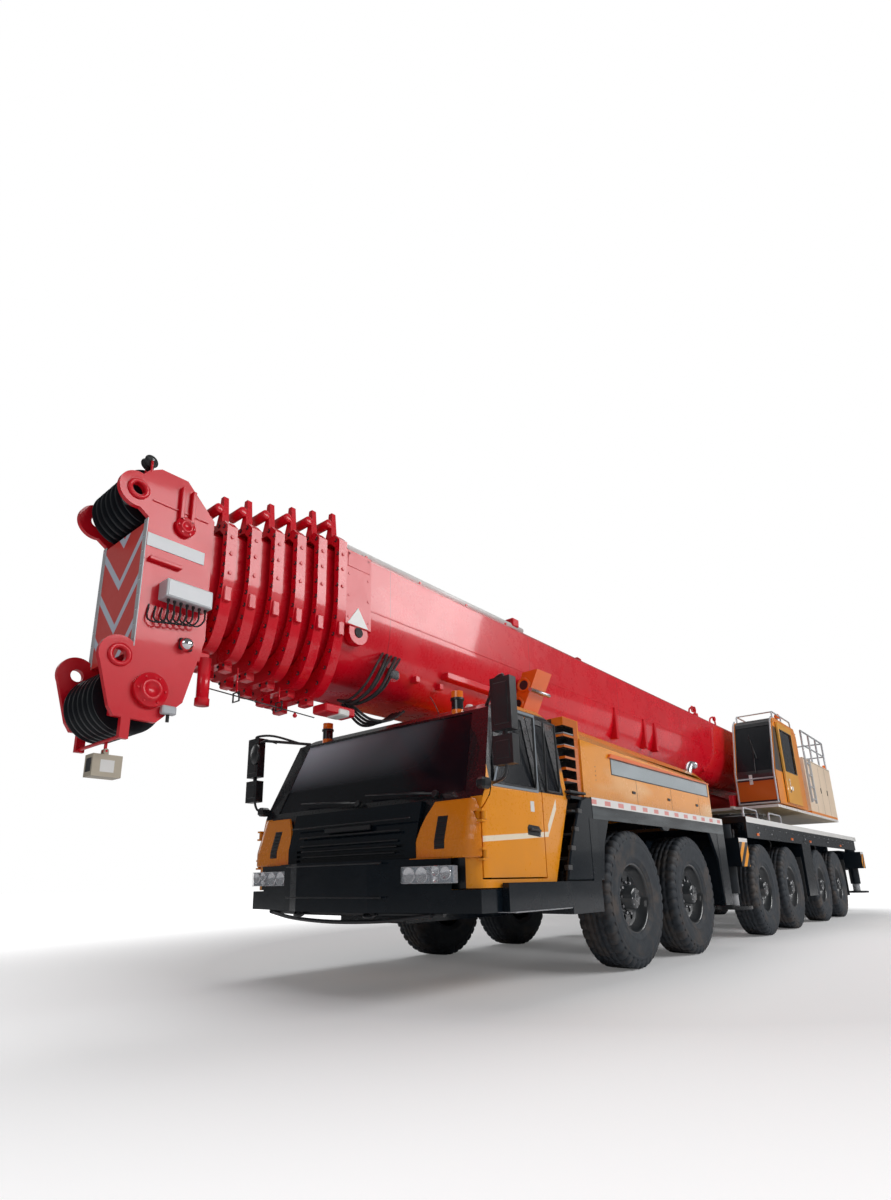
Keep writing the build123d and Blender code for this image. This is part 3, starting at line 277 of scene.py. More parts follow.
    def disc(self, centre, axis, radius, depth, slot=0, n=24, edge=0.003):
        """A short round boss from its centre out along an axis."""
        c = min(edge, depth / 3, radius / 3)
        return self.turned([(0, 1e-5), (0, radius), (depth - c, radius), (depth, radius - c), (depth, 1e-5)],
                           centre, axis, n, slot, False)

    def bolts(self, spots, axis, radius=0.012, depth=0.012, slot=0):
        for spot in spots:
            self.disc(spot, axis, radius, depth, slot, 6, 0.002)
        return self

    def done(self, name, body, finishes, replaces=()):
        mesh = bpy.data.meshes.new(name)
        mesh.from_pydata(np.concatenate(self.verts).tolist(), [], self.faces)
        mesh.polygons.foreach_set("material_index", self.slots)
        mesh.polygons.foreach_set("use_smooth", self.soft)
        for f in finishes:
            mesh.materials.append(f.material)
        mesh.update()
        piece = bpy.data.objects.new(name, mesh)
        bpy.context.scene.collection.objects.link(piece)
        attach(piece, body)
        if replaces:
            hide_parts(*replaces)
        return piece


def arc(cu, cv, r, start, end, n=9):
    """Points on an arc in a plane, its angles in degrees."""
    a = np.radians(np.linspace(start, end, n))
    return list(zip(cu + r * np.cos(a), cv + r * np.sin(a)))


def circle_spots(cx, y, cz, r, n, start=0.0):
    """Places on a circle across y."""
    a = start + np.arange(n) * 2 * math.pi / n
    return [(cx + r * math.cos(t), y, cz + r * math.sin(t)) for t in a]


def smooth_line(points, n=24):
    """A smooth curve through a few points: Catmull-Rom spans between them."""
    p = np.asarray(points, float)
    p = np.vstack((2 * p[0] - p[1], p, 2 * p[-1] - p[-2]))
    t = np.linspace(0, len(p) - 3 - 1e-9, n)
    i = t.astype(int)
    f = (t - i)[:, None]
    a, b, c, d = p[i], p[i + 1], p[i + 2], p[i + 3]
    return 0.5 * (2 * b + (c - a) * f + (2 * a - 5 * b + 4 * c - d) * f ** 2 + (3 * b - a - 3 * c + d) * f ** 3)


# Finishes
RED, YELLOW, ORANGE = (0.72, 0.002, 0.016), (0.93, 0.33, 0.008), (0.88, 0.15, 0.004)
DARK, WHITE, SOOT = (0.006, 0.010, 0.015), (0.80, 0.80, 0.78), (0.022, 0.024, 0.027)
corner_paint = machine_paint("corner_orange", (0.90, 0.27, 0.008), 0.26, 0.8, 0.15)
window_frame = machine_paint("window_frame", (0.26, 0.30, 0.34), 0.3, 0.3, 0.1)
boom_red = machine_paint("boom_red", RED, 0.3, 0.35, 0.1, low=5.5, spec=0.3)
cab_yellow = machine_paint("cab_yellow", YELLOW, 0.28, 0.7, 0.3)
hood_yellow = machine_paint("hood_yellow", YELLOW, 0.28, 0.7, 0.2, low=2.4)
orange = machine_paint("rest_orange", ORANGE, 0.3, 0.6, 0.2)
frame_dark = machine_paint("frame_dark", DARK, 0.2, 0.15, 0.4, SOOT, spec=0.25)
silver = machine_paint("silver_trim", (0.50, 0.52, 0.55), 0.3, 0.4, 0.2)
cream = machine_paint("house_cream", (0.95, 0.85, 0.70), 0.34, 0.5, 0.2, low=3.0)
white = machine_paint("edge_white", WHITE, 0.4, 0.3, 0.3)
plastic = Finish("black_plastic", (0.012, 0.014, 0.017), 0.36, coat=0.25)
plastic.drive("Roughness", plastic.noise(30, 5) * 0.22 + 0.26).bump(plastic.noise(600, 2), 0.0003)
rubber = Finish("tyre_rubber", (0.030, 0.036, 0.044), 0.6, spec=0.35)
rubber.lay(((rubber.noise(3, 7, 0.7) - 0.50) * 3.0).clamped() * 0.8, (0.16, 0.115, 0.082))
rubber.lay(((rubber.noise(24, 4) - 0.52) * 2.0).clamped() * 0.7, (0.014, 0.016, 0.020))
rubber.drive("Roughness", rubber.noise(14, 6) * 0.3 + 0.5).bump(rubber.noise(90, 5), 0.0010)
steel = Finish("bright_steel", (0.56, 0.56, 0.58), 0.28, metal=1)
steel.drive("Roughness", steel.noise(20, 5) * 0.25 + 0.18)
chrome = Finish("chrome", (0.82, 0.82, 0.84), 0.08, metal=1)
chrome.drive("Roughness", chrome.noise(8, 3) * 0.1 + 0.03)
rim_black = machine_paint("rim_black", (0.014, 0.018, 0.022), 0.3, 0.6, 0.3, (0.12, 0.10, 0.09))
cast = Finish("cast_iron", (0.028, 0.028, 0.031), 0.6)
cast.drive("Roughness", cast.noise(30, 5) * 0.3 + 0.42).bump(cast.noise(60, 6), 0.001)
cloth = Finish("cab_trim", (0.040, 0.040, 0.046), 0.85)
cloth.lay(((cloth.noise(3, 3) - 0.5) * 2).clamped(), (0.075, 0.075, 0.080)).bump(cloth.noise(260, 3), 0.0008)
glass = Finish("tinted_glass", (0.005, 0.007, 0.011), 0.2, alpha=0.975, spec=0.35)
glass.drive("Roughness", glass.noise(2.0, 3) * 0.08 + 0.16)
# Painted reflection: a pale blue-grey sky patch laid on the upper windscreen, stronger towards the top and towards the
# vehicle's right
painted_sky_reflection = ((glass.z - 1.80) * 2.2).clamped() * ((0.85 - glass.y) * 0.55).clamped() * glass.x.over(at(2.0))
glass.lay((painted_sky_reflection * 0.85 + (glass.noise(0.7, 2) - 0.5) * painted_sky_reflection).clamped(), (0.56, 0.61, 0.70))
lens = Finish("clear_lens", (0.80, 0.86, 0.92), 0.05, alpha=0.14, spec=0.8, coat=0.5)
lens.drive("Roughness", lens.noise(120, 2) * 0.08 + 0.02)
amber = Finish("amber_lens", (0.95, 0.16, 0.008), 0.16, coat=0.7)
amber.lay(((amber.noise(90, 2) - 0.45) * 1.5).clamped(), (1.0, 0.34, 0.03))
lamp_red = Finish("red_lens", (0.55, 0.01, 0.01), 0.16, coat=0.7)
lamp_red.lay(((lamp_red.noise(120, 2) - 0.45) * 1.5).clamped(), (0.85, 0.04, 0.03))
rope = Finish("wire_rope", (0.12, 0.12, 0.125), 0.45, metal=0.7)
rope.bump((rope.x * 900 + rope.z * 400).sine(), 0.002)
hose = Finish("rubber_hose", (0.016, 0.017, 0.019), 0.42)
hose.drive("Roughness", hose.noise(60, 3) * 0.25 + 0.3).bump((hose.x * 1400 + hose.z * 1400).sine(), 0.0004)
beige = machine_paint("weight_beige", (0.52, 0.46, 0.36), 0.45, 0.2, 0.4, low=3)
tread_plate = Finish("tread_plate", (0.06, 0.068, 0.075), 0.42, metal=0.3)
tread_plate.bump(((tread_plate.x * 150).sine() * (tread_plate.y * 150).sine()).over(0.3, 0.3), 0.002)
tread_plate.drive("Roughness", tread_plate.noise(20, 5) * 0.3 + 0.28)


def dress(names, finish):
    """Puts a finish on every slot of some CAD nodes."""
    for name in names.split():
        slots = nodes[name].data.materials
        if not slots:
            slots.append(finish.material)
        for i in range(len(slots)):
            slots[i] = finish.material


BLACK = (0.010, 0.012, 0.015)
cab_skin = machine_paint("cab_shell_paint", YELLOW, 0.28, 0.7, 0.3)
roof = cab_skin.z.over(2.40, 0.15)
cab_skin.lay(roof * 0.7, (0.86, 0.22, 0.010))
stripe_z = 1.165 + (at(2.73) - cab_skin.x) * 0.075
cab_skin.lay((abs(cab_skin.z - stripe_z - 0.02)).under(0.022) * cab_skin.x.between(at(1.66), at(2.62)) *
             abs(cab_skin.ny).over(0.7), (0.92, 0.80, 0.62))
cab_skin.lay((abs(cab_skin.z - 1.30 - (at(1.66) - cab_skin.x) * 1.5)).under(0.045) *
             cab_skin.x.between(at(1.50), at(1.66)) * abs(cab_skin.ny).over(0.7), (0.92, 0.80, 0.62))
front_black = cab_skin.nx.over(0.35, 0.05) * cab_skin.x.over(at(2.0)) * cab_skin.z.under(2.345, 0.01) * \
    (abs(cab_skin.y).under(1.30) | cab_skin.z.over(1.53))
pillar_black = abs(cab_skin.y).over(1.2) * cab_skin.z.between(1.625, 2.325) * cab_skin.x.between(at(1.34), at(2.50))
cab_skin.lay((front_black | pillar_black).clamped(), BLACK)
inner = (abs(cab_skin.y).under(1.375, 0.01) * cab_skin.x.between(at(1.0), at(2.60)) *
         cab_skin.z.between(0.86, 2.45)) * abs(cab_skin.nx).under(0.5)
cab_skin.lay(inner * cab_skin.z.under(2.425), (0.05, 0.05, 0.055))
dress("cab_shell door_left door_right", cab_skin)
dress("cab_glass door_glass_left door_glass_right upper_cab_glass", glass)
dress("cab_interior", cloth)

nose = machine_paint("nose_dark", (0.004, 0.008, 0.013), 0.16, 0.15, 0.3, SOOT, spec=0.25)
corner = abs(nose.y).over(0.835) * nose.z.over(1.056)
nose.lay(corner, (0.88, 0.24, 0.010))
nose.lay(nose.nx.under(-0.2) * corner, BLACK)
dress("front_end", nose)

deck = machine_paint("front_deck_dark", DARK, 0.2, 0.25, 0.4, SOOT, spec=0.25)
deck.lay(deck.nz.over(0.8), (0.10, 0.11, 0.12))
deck.lay(deck.z.over(1.562) * abs(deck.ny).over(0.7), (0.82, 0.80, 0.78))
deck.lay(deck.z.between(1.577, 1.622) * abs(deck.ny).over(0.7) *
         ((deck.x / 0.30 % 1.0).under(0.42, 0.01)), (0.75, 0.30, 0.28))
# Painted reflection: lighter blue-grey streaks on the deck's sides between 1.435 and 1.56 m
deck.lay(abs(deck.ny).over(0.7) * deck.z.between(1.435, 1.56) *
         (deck.noise(1.2, 2, stretch=(1, 1, 6)) * 1.6 - 0.55).clamped(), (0.13, 0.15, 0.16))
dress("front_deck", deck)

bonnet = machine_paint("hood_skin", YELLOW, 0.24, 0.8, 0.2, low=2.4)
recess = abs(bonnet.ny).over(0.7) * bonnet.z.between(1.944, 2.116) * bonnet.x.between(at(-2.69), at(0.26))
# Painted highlight: pale yellow streaks laid on the hood's side faces stand in for light reflected off them
bonnet.lay(((bonnet.noise(0.5, 2, stretch=(1, 1, 4)) - 0.52) * 5).clamped() * abs(bonnet.ny).over(0.7) * 0.5,
           (0.98, 0.82, 0.52))
bonnet.lay(recess, (0.42, 0.47, 0.49))
bonnet.lay(bonnet.x.over(at(0.905)), (0.90, 0.20, 0.010))
bonnet.lay(bonnet.x.over(at(0.905)) * (abs(bonnet.y).under(1.3845) | bonnet.nx.under(-0.5)) *
           bonnet.z.under(2.415) * (bonnet.x.under(at(1.186)) | abs(bonnet.y).under(1.26)), (0.020, 0.021, 0.024))
bonnet.lay(bonnet.nz.under(-0.5), (0.04, 0.03, 0.02))
dress("engine_cover", bonnet)

walk = machine_paint("rear_deck_dark", DARK, 0.2, 0.25, 0.4, SOOT, spec=0.25)
walk.lay(walk.nz.over(0.8) * walk.z.over(1.7), (0.16, 0.17, 0.17))
walk.lay(walk.z.between(1.665, 1.752) * abs(walk.ny).over(0.7) * abs(walk.y).over(1.49), (0.86, 0.85, 0.83))
walk.lay(walk.z.over(1.752), (0.60, 0.60, 0.60))
dress("rear_deck", walk)
dress("carrier_frame", frame_dark)
dress("axle_beams engine_block knuckle_1_left knuckle_1_right knuckle_2_left knuckle_2_right", cast)
dress("boom_rest", orange)
dress("mirrors", plastic)
dress("switch_weight", beige)
dress("luff_barrel", boom_red)
dress("luff_rod", chrome)

beam_dark = machine_paint("outrigger_dark", DARK, 0.34, 0.4, 0.4, SOOT, spec=0.25)
plate = abs(beam_dark.y).over(1.466) * abs(beam_dark.ny).over(0.7)
beam_dark.lay(plate * beam_dark.z.under(1.38), (0.95, 0.36, 0.01))
beam_dark.lay(plate * (((beam_dark.z + beam_dark.x + 20.0) / 0.28) % 1.0).over(0.5, 0.03), BLACK)
beam_dark.lay(plate * beam_dark.z.over(1.36), (0.80, 0.78, 0.76))
jack_steel = machine_paint("jack_steel", (0.42, 0.43, 0.45), 0.25, 0.2, 0.4, low=0.8)
jack_steel.lay(jack_steel.z.under(0.475), (0.02, 0.022, 0.025))
for end in ("front", "rear"):
    for side_name in ("left", "right"):
        dress(f"outrigger_beam_{end}_{side_name}", beam_dark)
        dress(f"outrigger_jack_{end}_{side_name}", jack_steel)

light = Finish("lamp_lenses", (0.34, 0.38, 0.43), 0.08, alpha=1.0, coat=0.7)
light.lay(((light.noise(60, 2) - 0.4) * 2).clamped(), (0.16, 0.19, 0.23))
light.lay(light.z.over(2.3), (1.0, 0.20, 0.01))
light.lay(light.z.between(2.38, 2.485), BLACK)
light.lay(light.x.under(0), (0.62, 0.012, 0.012))
light.lay(light.x.under(0) * abs(light.y).over(0.98), (0.95, 0.22, 0.01))
light.drive("Roughness", light.noise(80, 2) * 0.08 + 0.04)
dress("lamps", light)

tube_red = machine_paint("section_red", RED, 0.26, 0.5, 0.1, low=5.5, spec=0.3)
tube_red.lay((abs(tube_red.y).under(0.02) * tube_red.nz.over(0.9)), (0.5, 0.01, 0.02))
weld = abs((tube_red.x + 20.0) / 2.35 % 1.0 - 0.5).under(0.0022, 0.0015)
tube_red.lay(weld, (0.45, 0.004, 0.012))
dress("boom_section_1 boom_section_2 boom_section_3 boom_section_4 boom_section_5 boom_section_6", tube_red)
head_red = machine_paint("head_red", RED, 0.3, 0.35, 0.1, low=5.5, spec=0.3)
board = head_red.nx.over(0.8) * head_red.x.between(at(4.955), at(4.985)) * abs(head_red.y).under(0.32) * \
    head_red.z.between(2.40, 3.361)
wave = ((head_red.z - abs(head_red.y) * 1.05 + 20.0) / 0.336) % 1.0
head_red.lay(board, (0.74, 0.07, 0.06))
head_red.lay(board * wave.between(0.24, 0.46, 0.02), (0.62, 0.68, 0.80))
head_red.lay(board * abs(head_red.y).over(0.306), (0.80, 0.78, 0.78))
dress("boom_section_7", head_red)
sheave = Finish("sheave_black", (0.008, 0.010, 0.014), 0.4, spec=0.25)
sheave.drive("Roughness", sheave.noise(20, 4) * 0.25 + 0.22)
dress("upper_sheaves lower_sheaves", sheave)
windings = Finish("drum_rope", (0.10, 0.10, 0.105), 0.45, metal=0.6)
windings.bump((windings.y * 314).sine(), 0.006)
windings.lay(abs(windings.y).over(0.388), (0.60, 0.02, 0.03))
dress("hoist_drum", windings)

turntable = machine_paint("turntable_cream", (0.86, 0.62, 0.34), 0.34, 0.5, 0.3, low=2.6)
turntable.lay(turntable.z.under(2.058), (0.03, 0.03, 0.035))
turntable.lay(turntable.z.between(2.05, 2.12) * (abs(turntable.ny) | abs(turntable.nx)).over(0.7), (0.80, 0.78, 0.75))
turntable.lay(abs(turntable.y).under(0.72) * turntable.z.over(2.125), (0.62, 0.012, 0.03))
dress("upper_frame", turntable)
house = machine_paint("house_skin", (0.95, 0.84, 0.66), 0.34, 0.5, 0.2, low=3.0)
house.lay(house.z.over(3.293), (0.50, 0.52, 0.55))
house.lay(house.z.under(2.16) | (abs(house.y).over(1.441) * house.z.under(3.29)), (0.90, 0.26, 0.012))
dress("machinery_house", house)
driver = machine_paint("operator_cab_paint", (0.90, 0.28, 0.012), 0.3, 0.6, 0.2, low=3.0)
driver.lay(driver.nx.over(0.25, 0.05) * abs(driver.y - 1.1075).under(0.31) * driver.x.over(at(-6.9)), BLACK)
driver.lay(driver.z.over(3.795), (0.50, 0.52, 0.55))
driver.lay(driver.nx.over(0.5) * driver.z.between(2.2, 2.56) * driver.x.over(at(-6.5)), (0.62, 0.12, 0.006))
driver.lay(driver.z.under(2.20) * driver.nx.over(0.5), BLACK)
driver.lay(driver.x.between(at(-8.37), at(-6.38)) * driver.y.between(0.792, 1.424) * driver.z.between(2.177, 3.742) *
           abs(driver.nx).under(0.6), (0.05, 0.05, 0.055))
driver.lay(driver.ny.over(0.7) * driver.z.between(2.74, 3.60) * driver.x.over(at(-7.0)), BLACK)
dress("upper_cab", driver)
slider = machine_paint("sliding_door_paint", (0.90, 0.40, 0.02), 0.3, 0.6, 0.2, low=3.0)
pane = slider.x.between(at(-7.7605), at(-6.9295)) * slider.z.between(2.7705, 3.5695) * \
    slider.y.between(1.486, 1.4955, 0.0004)
slider.lay(pane, (0.010, 0.014, 0.020))
slider.drive("Roughness", 0.3 - pane * 0.26)
slider.drive("Alpha", 1.0 - pane * 0.12)
dress("upper_cab_door", slider)


# Wheels: a treaded tyre on its rim, in the form of the solid that they replace
def tyre(fit, x, side):
    """Grid of angle by place across the tyre. The radius follows the shoulder profile, less the depth of
    the grooves: two rings round the crown, and notches that run in from each shoulder."""
    turn = 240
    profile = [(-0.150, 0.345, 0), (-0.158, 0.352, 0), (-0.166, 0.372, 0), (-0.171, 0.392, 0), (-0.178, 0.400, 0),
               (-0.177, 0.412, 0), (-0.176, 0.420, 0), (-0.188, 0.480, 0), (-0.1925, 0.527, 0), (-0.190, 0.560, 0),
               (-0.187, 0.572, 0), (-0.191, 0.580, 0), (-0.187, 0.590, 0), (-0.184, 0.604, 0), (-0.183, 0.608, 1),
               (-0.1805, 0.640, 1), (-0.166, 0.664, 1), (-0.150, 0.681, 1), (-0.118, 0.683, 1),
               (-0.100, 0.6835, 1), (-0.096, 0.668, 0), (-0.084, 0.668, 0), (-0.080, 0.684, .5),
               (-0.036, 0.685, .5), (-0.032, 0.670, 0), (-0.020, 0.670, 0), (-0.016, 0.685, .35)]
    profile += [(-y, r, k) for y, r, k in profile[::-1]]
    y, r, notch = np.array(profile).T
    t = np.arange(turn) * 2 * math.pi / turn
    step = np.arange(turn) % 6
    cut = np.where(step[:, None] < 2, 0.021, 0.0) * notch
    stagger = np.where(((step + 3) % 6)[:, None] < 2, 0.021, 0.0) * notch
    depth = np.where(y[None] < 0, cut, stagger)
    radius = r[None] - depth
    inner = np.array([(0.150, 0.345), (-0.150, 0.345)])
    yy = np.concatenate((y * side, inner[:, 0] * side))
    radius = np.concatenate((radius, np.broadcast_to(inner[:, 1], (turn, 2))), 1)
    rows = np.stack((x + radius * np.cos(t)[:, None], np.broadcast_to(side * WHEEL_Y + yy, radius.shape),
                     WHEEL_Z + radius * np.sin(t)[:, None]), 2)
    fit.skin(rows, 0, True, round_u=True, round_v=True)


def rim_face(fit, x, side, inner_r, outer_r, y_out, thick, holes, hole_r):
    """The disc with its ring of hand holes: in each sector the points run from the hole's circle out to the
    sector's edge, blended in equal steps."""
    t = np.linspace(0, 2 * math.pi, 33)[:-1]
    square = np.stack((np.cos(t), np.sin(t)), 1) / np.maximum(abs(np.cos(t)), abs(np.sin(t)))[:, None]
    mid = (inner_r + outer_r) / 2
    for k in range(holes):
        angle = 2 * math.pi * (k + 0.5) / holes
        reach = np.stack((mid + square[:, 0] * (outer_r - inner_r) / 2, square[:, 1] * math.pi / holes), 1)
        edge = np.stack((reach[:, 0] * np.cos(reach[:, 1]), reach[:, 0] * np.sin(reach[:, 1])), 1)
        hole = np.stack((mid + hole_r * np.cos(t), hole_r * np.sin(t)), 1)
        flat = np.array([edge, hole * 0.4 + edge * 0.6, hole * 0.94 + edge * 0.06, hole])
        low = np.array([0, 0, 0, -0.006])
        flat = np.concatenate((flat, [hole, hole, edge]))
        height = np.concatenate((low, [-thick + 0.004, -thick, -thick]))
        c, s = math.cos(angle), math.sin(angle)
        px = flat[..., 0] * c - flat[..., 1] * s
        pz = flat[..., 0] * s + flat[..., 1] * c
        rows = np.stack((x + px, np.broadcast_to(side * (y_out + height[:, None]), px.shape), WHEEL_Z + pz), 2)
        fit.skin(rows, 1, False, round_v=True)


def wheel(number, side, side_name):
    x = AXLES[number]
    fit = Fitting()
    tyre(fit, x, side)
    centre = (x, side * WHEEL_Y, WHEEL_Z)
    out = (0, side, 0)
    fit.turned([(-0.150, 0.344), (-0.150, 0.352), (-0.144, 0.358), (-0.138, 0.3445), (0.138, 0.3445),
                (0.144, 0.358), (0.150, 0.352), (0.150, 0.336), (0.128, 0.326), (0.10, 0.322), (0.058, 0.276),
                (0.040, 0.264), (0.020, 0.300), (-0.02, 0.318), (-0.138, 0.330)], centre, out, 64, 1)
    rim_face(fit, x, side, 0.128, 0.276, WHEEL_Y + 0.058, 0.018, 8, 0.026)
    fit.turned([(0.040, 0.0605), (0.040, 0.138), (0.058, 0.138), (0.066, 0.130), (0.150, 0.112), (0.163, 0.100),
                (0.171, 0.070), (0.175, 0.030), (0.175, 1e-5)], centre, out, 40, 1)
    fit.turned([(-0.060, 0.0605), (-0.060, 0.124), (0.038, 0.134), (0.038, 0.0605)], centre, out, 40, 3)
    fit.bolts(circle_spots(x, side * (WHEEL_Y + 0.057), WHEEL_Z, 0.158, 10, 0.1), out, 0.015, 0.030, 2)
    fit.bolts(circle_spots(x, side * (WHEEL_Y + 0.150), WHEEL_Z, 0.088, 8), out, 0.009, 0.017, 2)
    fit.turned([(0.158, 0.040), (0.1765, 0.038), (0.1765, 0.034), (0.158, 0.030)], (x, side * (WHEEL_Y - 0.002), WHEEL_Z),
               out, 24, 2)
    fit.pipe([(x + 0.302, side * (WHEEL_Y + 0.10), WHEEL_Z), (x + 0.285, side * (WHEEL_Y + 0.13), WHEEL_Z)],
             0.006, 2, 8)
    fit.done(f"dressed_wheel_{number + 1}_{side_name}", f"wheel_{number + 1}_{side_name}",
             [rubber, rim_black, steel, cast], [f"wheel_{number + 1}_{side_name}"])


for number in range(6):
    for side, side_name in ((1, "left"), (-1, "right")):
        wheel(number, side, side_name)


# Driver's cab
def headlamp_units():
    """Two round reflectors and two small ones in each bumper pocket, under a clear cover."""
    fit = Fitting()
    x = at(2.822)
    for side in (1, -1):
        for y, z, r in ((0.828, 0.935, 0.058), (0.962, 0.935, 0.058), (1.105, 0.962, 0.036), (1.105, 0.900, 0.022),
                        (1.205, 0.945, 0.046)):
            c = (x, side * y, z)
            fit.turned([(0.0, r + 0.006), (0.012, r + 0.006), (0.012, r), (0.004, r * 0.7), (0.001, r * 0.3),
                        (0.001, 1e-5)], c, (1, 0, 0), 28, 0)
            fit.turned([(0.001, r * 0.30), (0.010, r * 0.26), (0.013, 1e-5)], c, (1, 0, 0), 16, 1)
        low, high = sorted((side * 0.752, side * 1.268))
        fit.box(x + 0.014, x + 0.019, low, high, 0.872, 0.998, 1, 0.002)
        fit.box(x - 0.002, x + 0.016, low, high, 0.994, 1.0, 2, 0.002)
        fit.box(x - 0.002, x + 0.016, low, high, 0.870, 0.876, 2, 0.002)
        fit.box(x - 0.001, x + 0.014, side * 1.046 - 0.005, side * 1.046 + 0.005, 0.872, 0.998, 0, 0.002)
    fit.done("headlamp_units", "root", [chrome, lens, silver])


def cab_front_fittings():
    """Slotted grille blades, wipers, visor lip, vents in the corner panels, tow eyes and the valance bar."""
    fit = Fitting()
    for z, half in ((1.12, 0.60), (1.17, 0.62), (1.22, 0.64), (1.30, 0.66)):
        fit.box(at(2.742), at(2.762), -half, half, z - 0.008, z + 0.008, 0, 0.004)
    fit.box(at(2.745), at(2.760), -0.78, 0.78, 1.383, 1.398, 0, 0.005)
    fit.box(at(2.730), at(2.755), -0.30, 0.30, 1.325, 1.372, 0, 0.006)
    for side in (1, -1):
        for k in range(8):
            z = 1.145 + k * 0.033
            x = 2.744 - max(0.0, z - 1.19) * 0.286
            fit.box(at(x - 0.012), at(x + 0.004), side * 1.075 - 0.050, side * 1.075 + 0.050, z - 0.005, z + 0.006, 0, 0.003)
        fit.pipe(smooth_line([(at(2.86), side * 0.50, 0.66), (at(2.90), side * 0.50, 0.62), (at(2.90), side * 0.40, 0.62),
                              (at(2.86), side * 0.40, 0.66)], 14), 0.014, 0, 8)
    for y in (0.95, 0.02):
        fit.pipe([(at(2.630), y, 1.585), (at(2.628), y - 0.30, 1.612), (at(2.610), y - 0.62, 1.640)],
                 [0.012, 0.009, 0.007], 0, 8)
        fit.bar((at(2.622), y - 0.12, 1.605), (at(2.605), y - 0.86, 1.650), 0.010, 0, 6)
        fit.disc((at(2.615), y, 1.580), (1, 0, 0.3), 0.030, 0.03, 0, 16)
    fit.pipe(smooth_line([(at(2.78), -1.02, 0.635), (at(2.84), -0.6, 0.59), (at(2.87), 0.0, 0.57), (at(2.84), 0.6, 0.59),
                          (at(2.78), 1.02, 0.635)], 24), 0.017, 0, 8)
    fit.slab([(at(2.74), -1.1), (at(2.86), -0.5), (at(2.87), 0.5), (at(2.74), 1.1), (at(2.70), 1.1), (at(2.70), -1.1)],
             0.62, 0.655, "z", 0, 0.01)
    fit.box(at(2.921), at(2.9295), -0.26, 0.26, 0.80, 0.91, 1, 0.003)
    for z in (1.028, 0.760):
        fit.box(at(2.915), at(2.934), -0.615, 0.615, z, z + 0.014, 0, 0.005)
    fit.done("cab_front_fittings", "root", [plastic, white])


def corner_panel(side, side_name):
    """The coloured panel beside the mask: a band that stands 40 mm off the cab's corner in plan, drawn back with
    the slope of the front above 1.19, its inner edge curving out with height, and a dark vent let into it."""
    fit = Fitting()
    heights = np.array((1.058, 1.066, 1.13, 1.19, 1.23, 1.30, 1.36, 1.405, 1.415, 1.46, 1.505, 1.515))
    inner = np.interp(heights, (1.05, 1.19, 1.30, 1.40, 1.50), (0.815, 0.825, 0.850, 0.890, 0.960))
    back = np.maximum(0.0, heights - 1.19) * 0.286
    stop = np.where(heights < 1.41, 2.664, 2.634)
    thin = np.where((heights < 1.06) | (heights > 1.51), 0.006, 0.0)
    rows = []
    for z, y0, b, end, t in zip(heights, inner, back, stop, thin):
        sheet = []
        for off in (0.040 - t, 0.018 + t):
            radius = 0.13 + off
            last = math.acos(min(1.0, max(0.0, (end - 2.57 + b) / radius)))
            a = np.linspace(0.0, last, 12)
            flat = np.linspace(y0, 1.295, 10)[:-1]
            line = [(at(2.70 + off - b), side * y, z) for y in flat] + \
                   [(at(2.57 - b) + radius * math.cos(v), side * (1.295 + radius * math.sin(v)), z) for v in a]
            sheet.append(line)
        rows.append(sheet[0] + sheet[1][::-1])
    fit.skin(rows, 0, False, round_v=True, caps=True)
    vent = [[(at(2.7415 - max(0.0, z - 1.19) * 0.286), side * (1.075 + v), z) for v in (-0.052, 0.052)]
            for z in (1.13, 1.19, 1.39)]
    back_of = [[(x - 0.01, y, z) for x, y, z in row[::-1]] for row in vent]
    fit.skin([v + b for v, b in zip(vent, back_of)], 1, False, round_v=True, caps=True)
    fit.done(f"corner_panel_{side_name}", "root", [corner_paint, plastic])


def door_fittings(side, side_name):
    """Handle in its pocket, window seal, belt seal and blank label."""
    fit = Fitting()
    y = side * 1.425
    out = (0, side, 0)
    ring = [(at(2.43), 1.645), (at(2.175), 2.286), (at(1.815), 2.286), (at(1.815), 1.645)]
    ring3 = np.array([(u, y + side * 0.001, v) for u, v in ring])
    fit.pipe(np.concatenate([np.linspace(ring3[i], ring3[(i + 1) % 4], 6)[:-1] for i in range(4)]), 0.010, 0, 6, True)
    fit.band(ring, 0.030, *sorted((y - side * 0.002, y + side * 0.003)), "y", 4)
    fit.slab([(at(1.79), 1.235), (at(1.99), 1.248), (at(1.995), 1.31), (at(1.97), 1.335), (at(1.81), 1.325),
              (at(1.79), 1.30)], *sorted((y - side * 0.004, y + side * 0.003)), "y", 0, 0.003)
    fit.pipe(smooth_line([(at(1.815), y, 1.286), (at(1.83), y + side * 0.022, 1.287), (at(1.955), y + side * 0.022, 1.293),
                          (at(1.97), y, 1.294)], 12), 0.011, 1, 8)
    fit.disc((at(1.80), y, 1.245), out, 0.011, 0.004, 2, 12)
    fit.box(at(1.87), at(1.93), y, y + side * 0.003, 1.445, 1.535, 3, 0.001)
    fit.done(f"door_fittings_{side_name}", f"door_{side_name}", [plastic, plastic, chrome, white, window_frame])


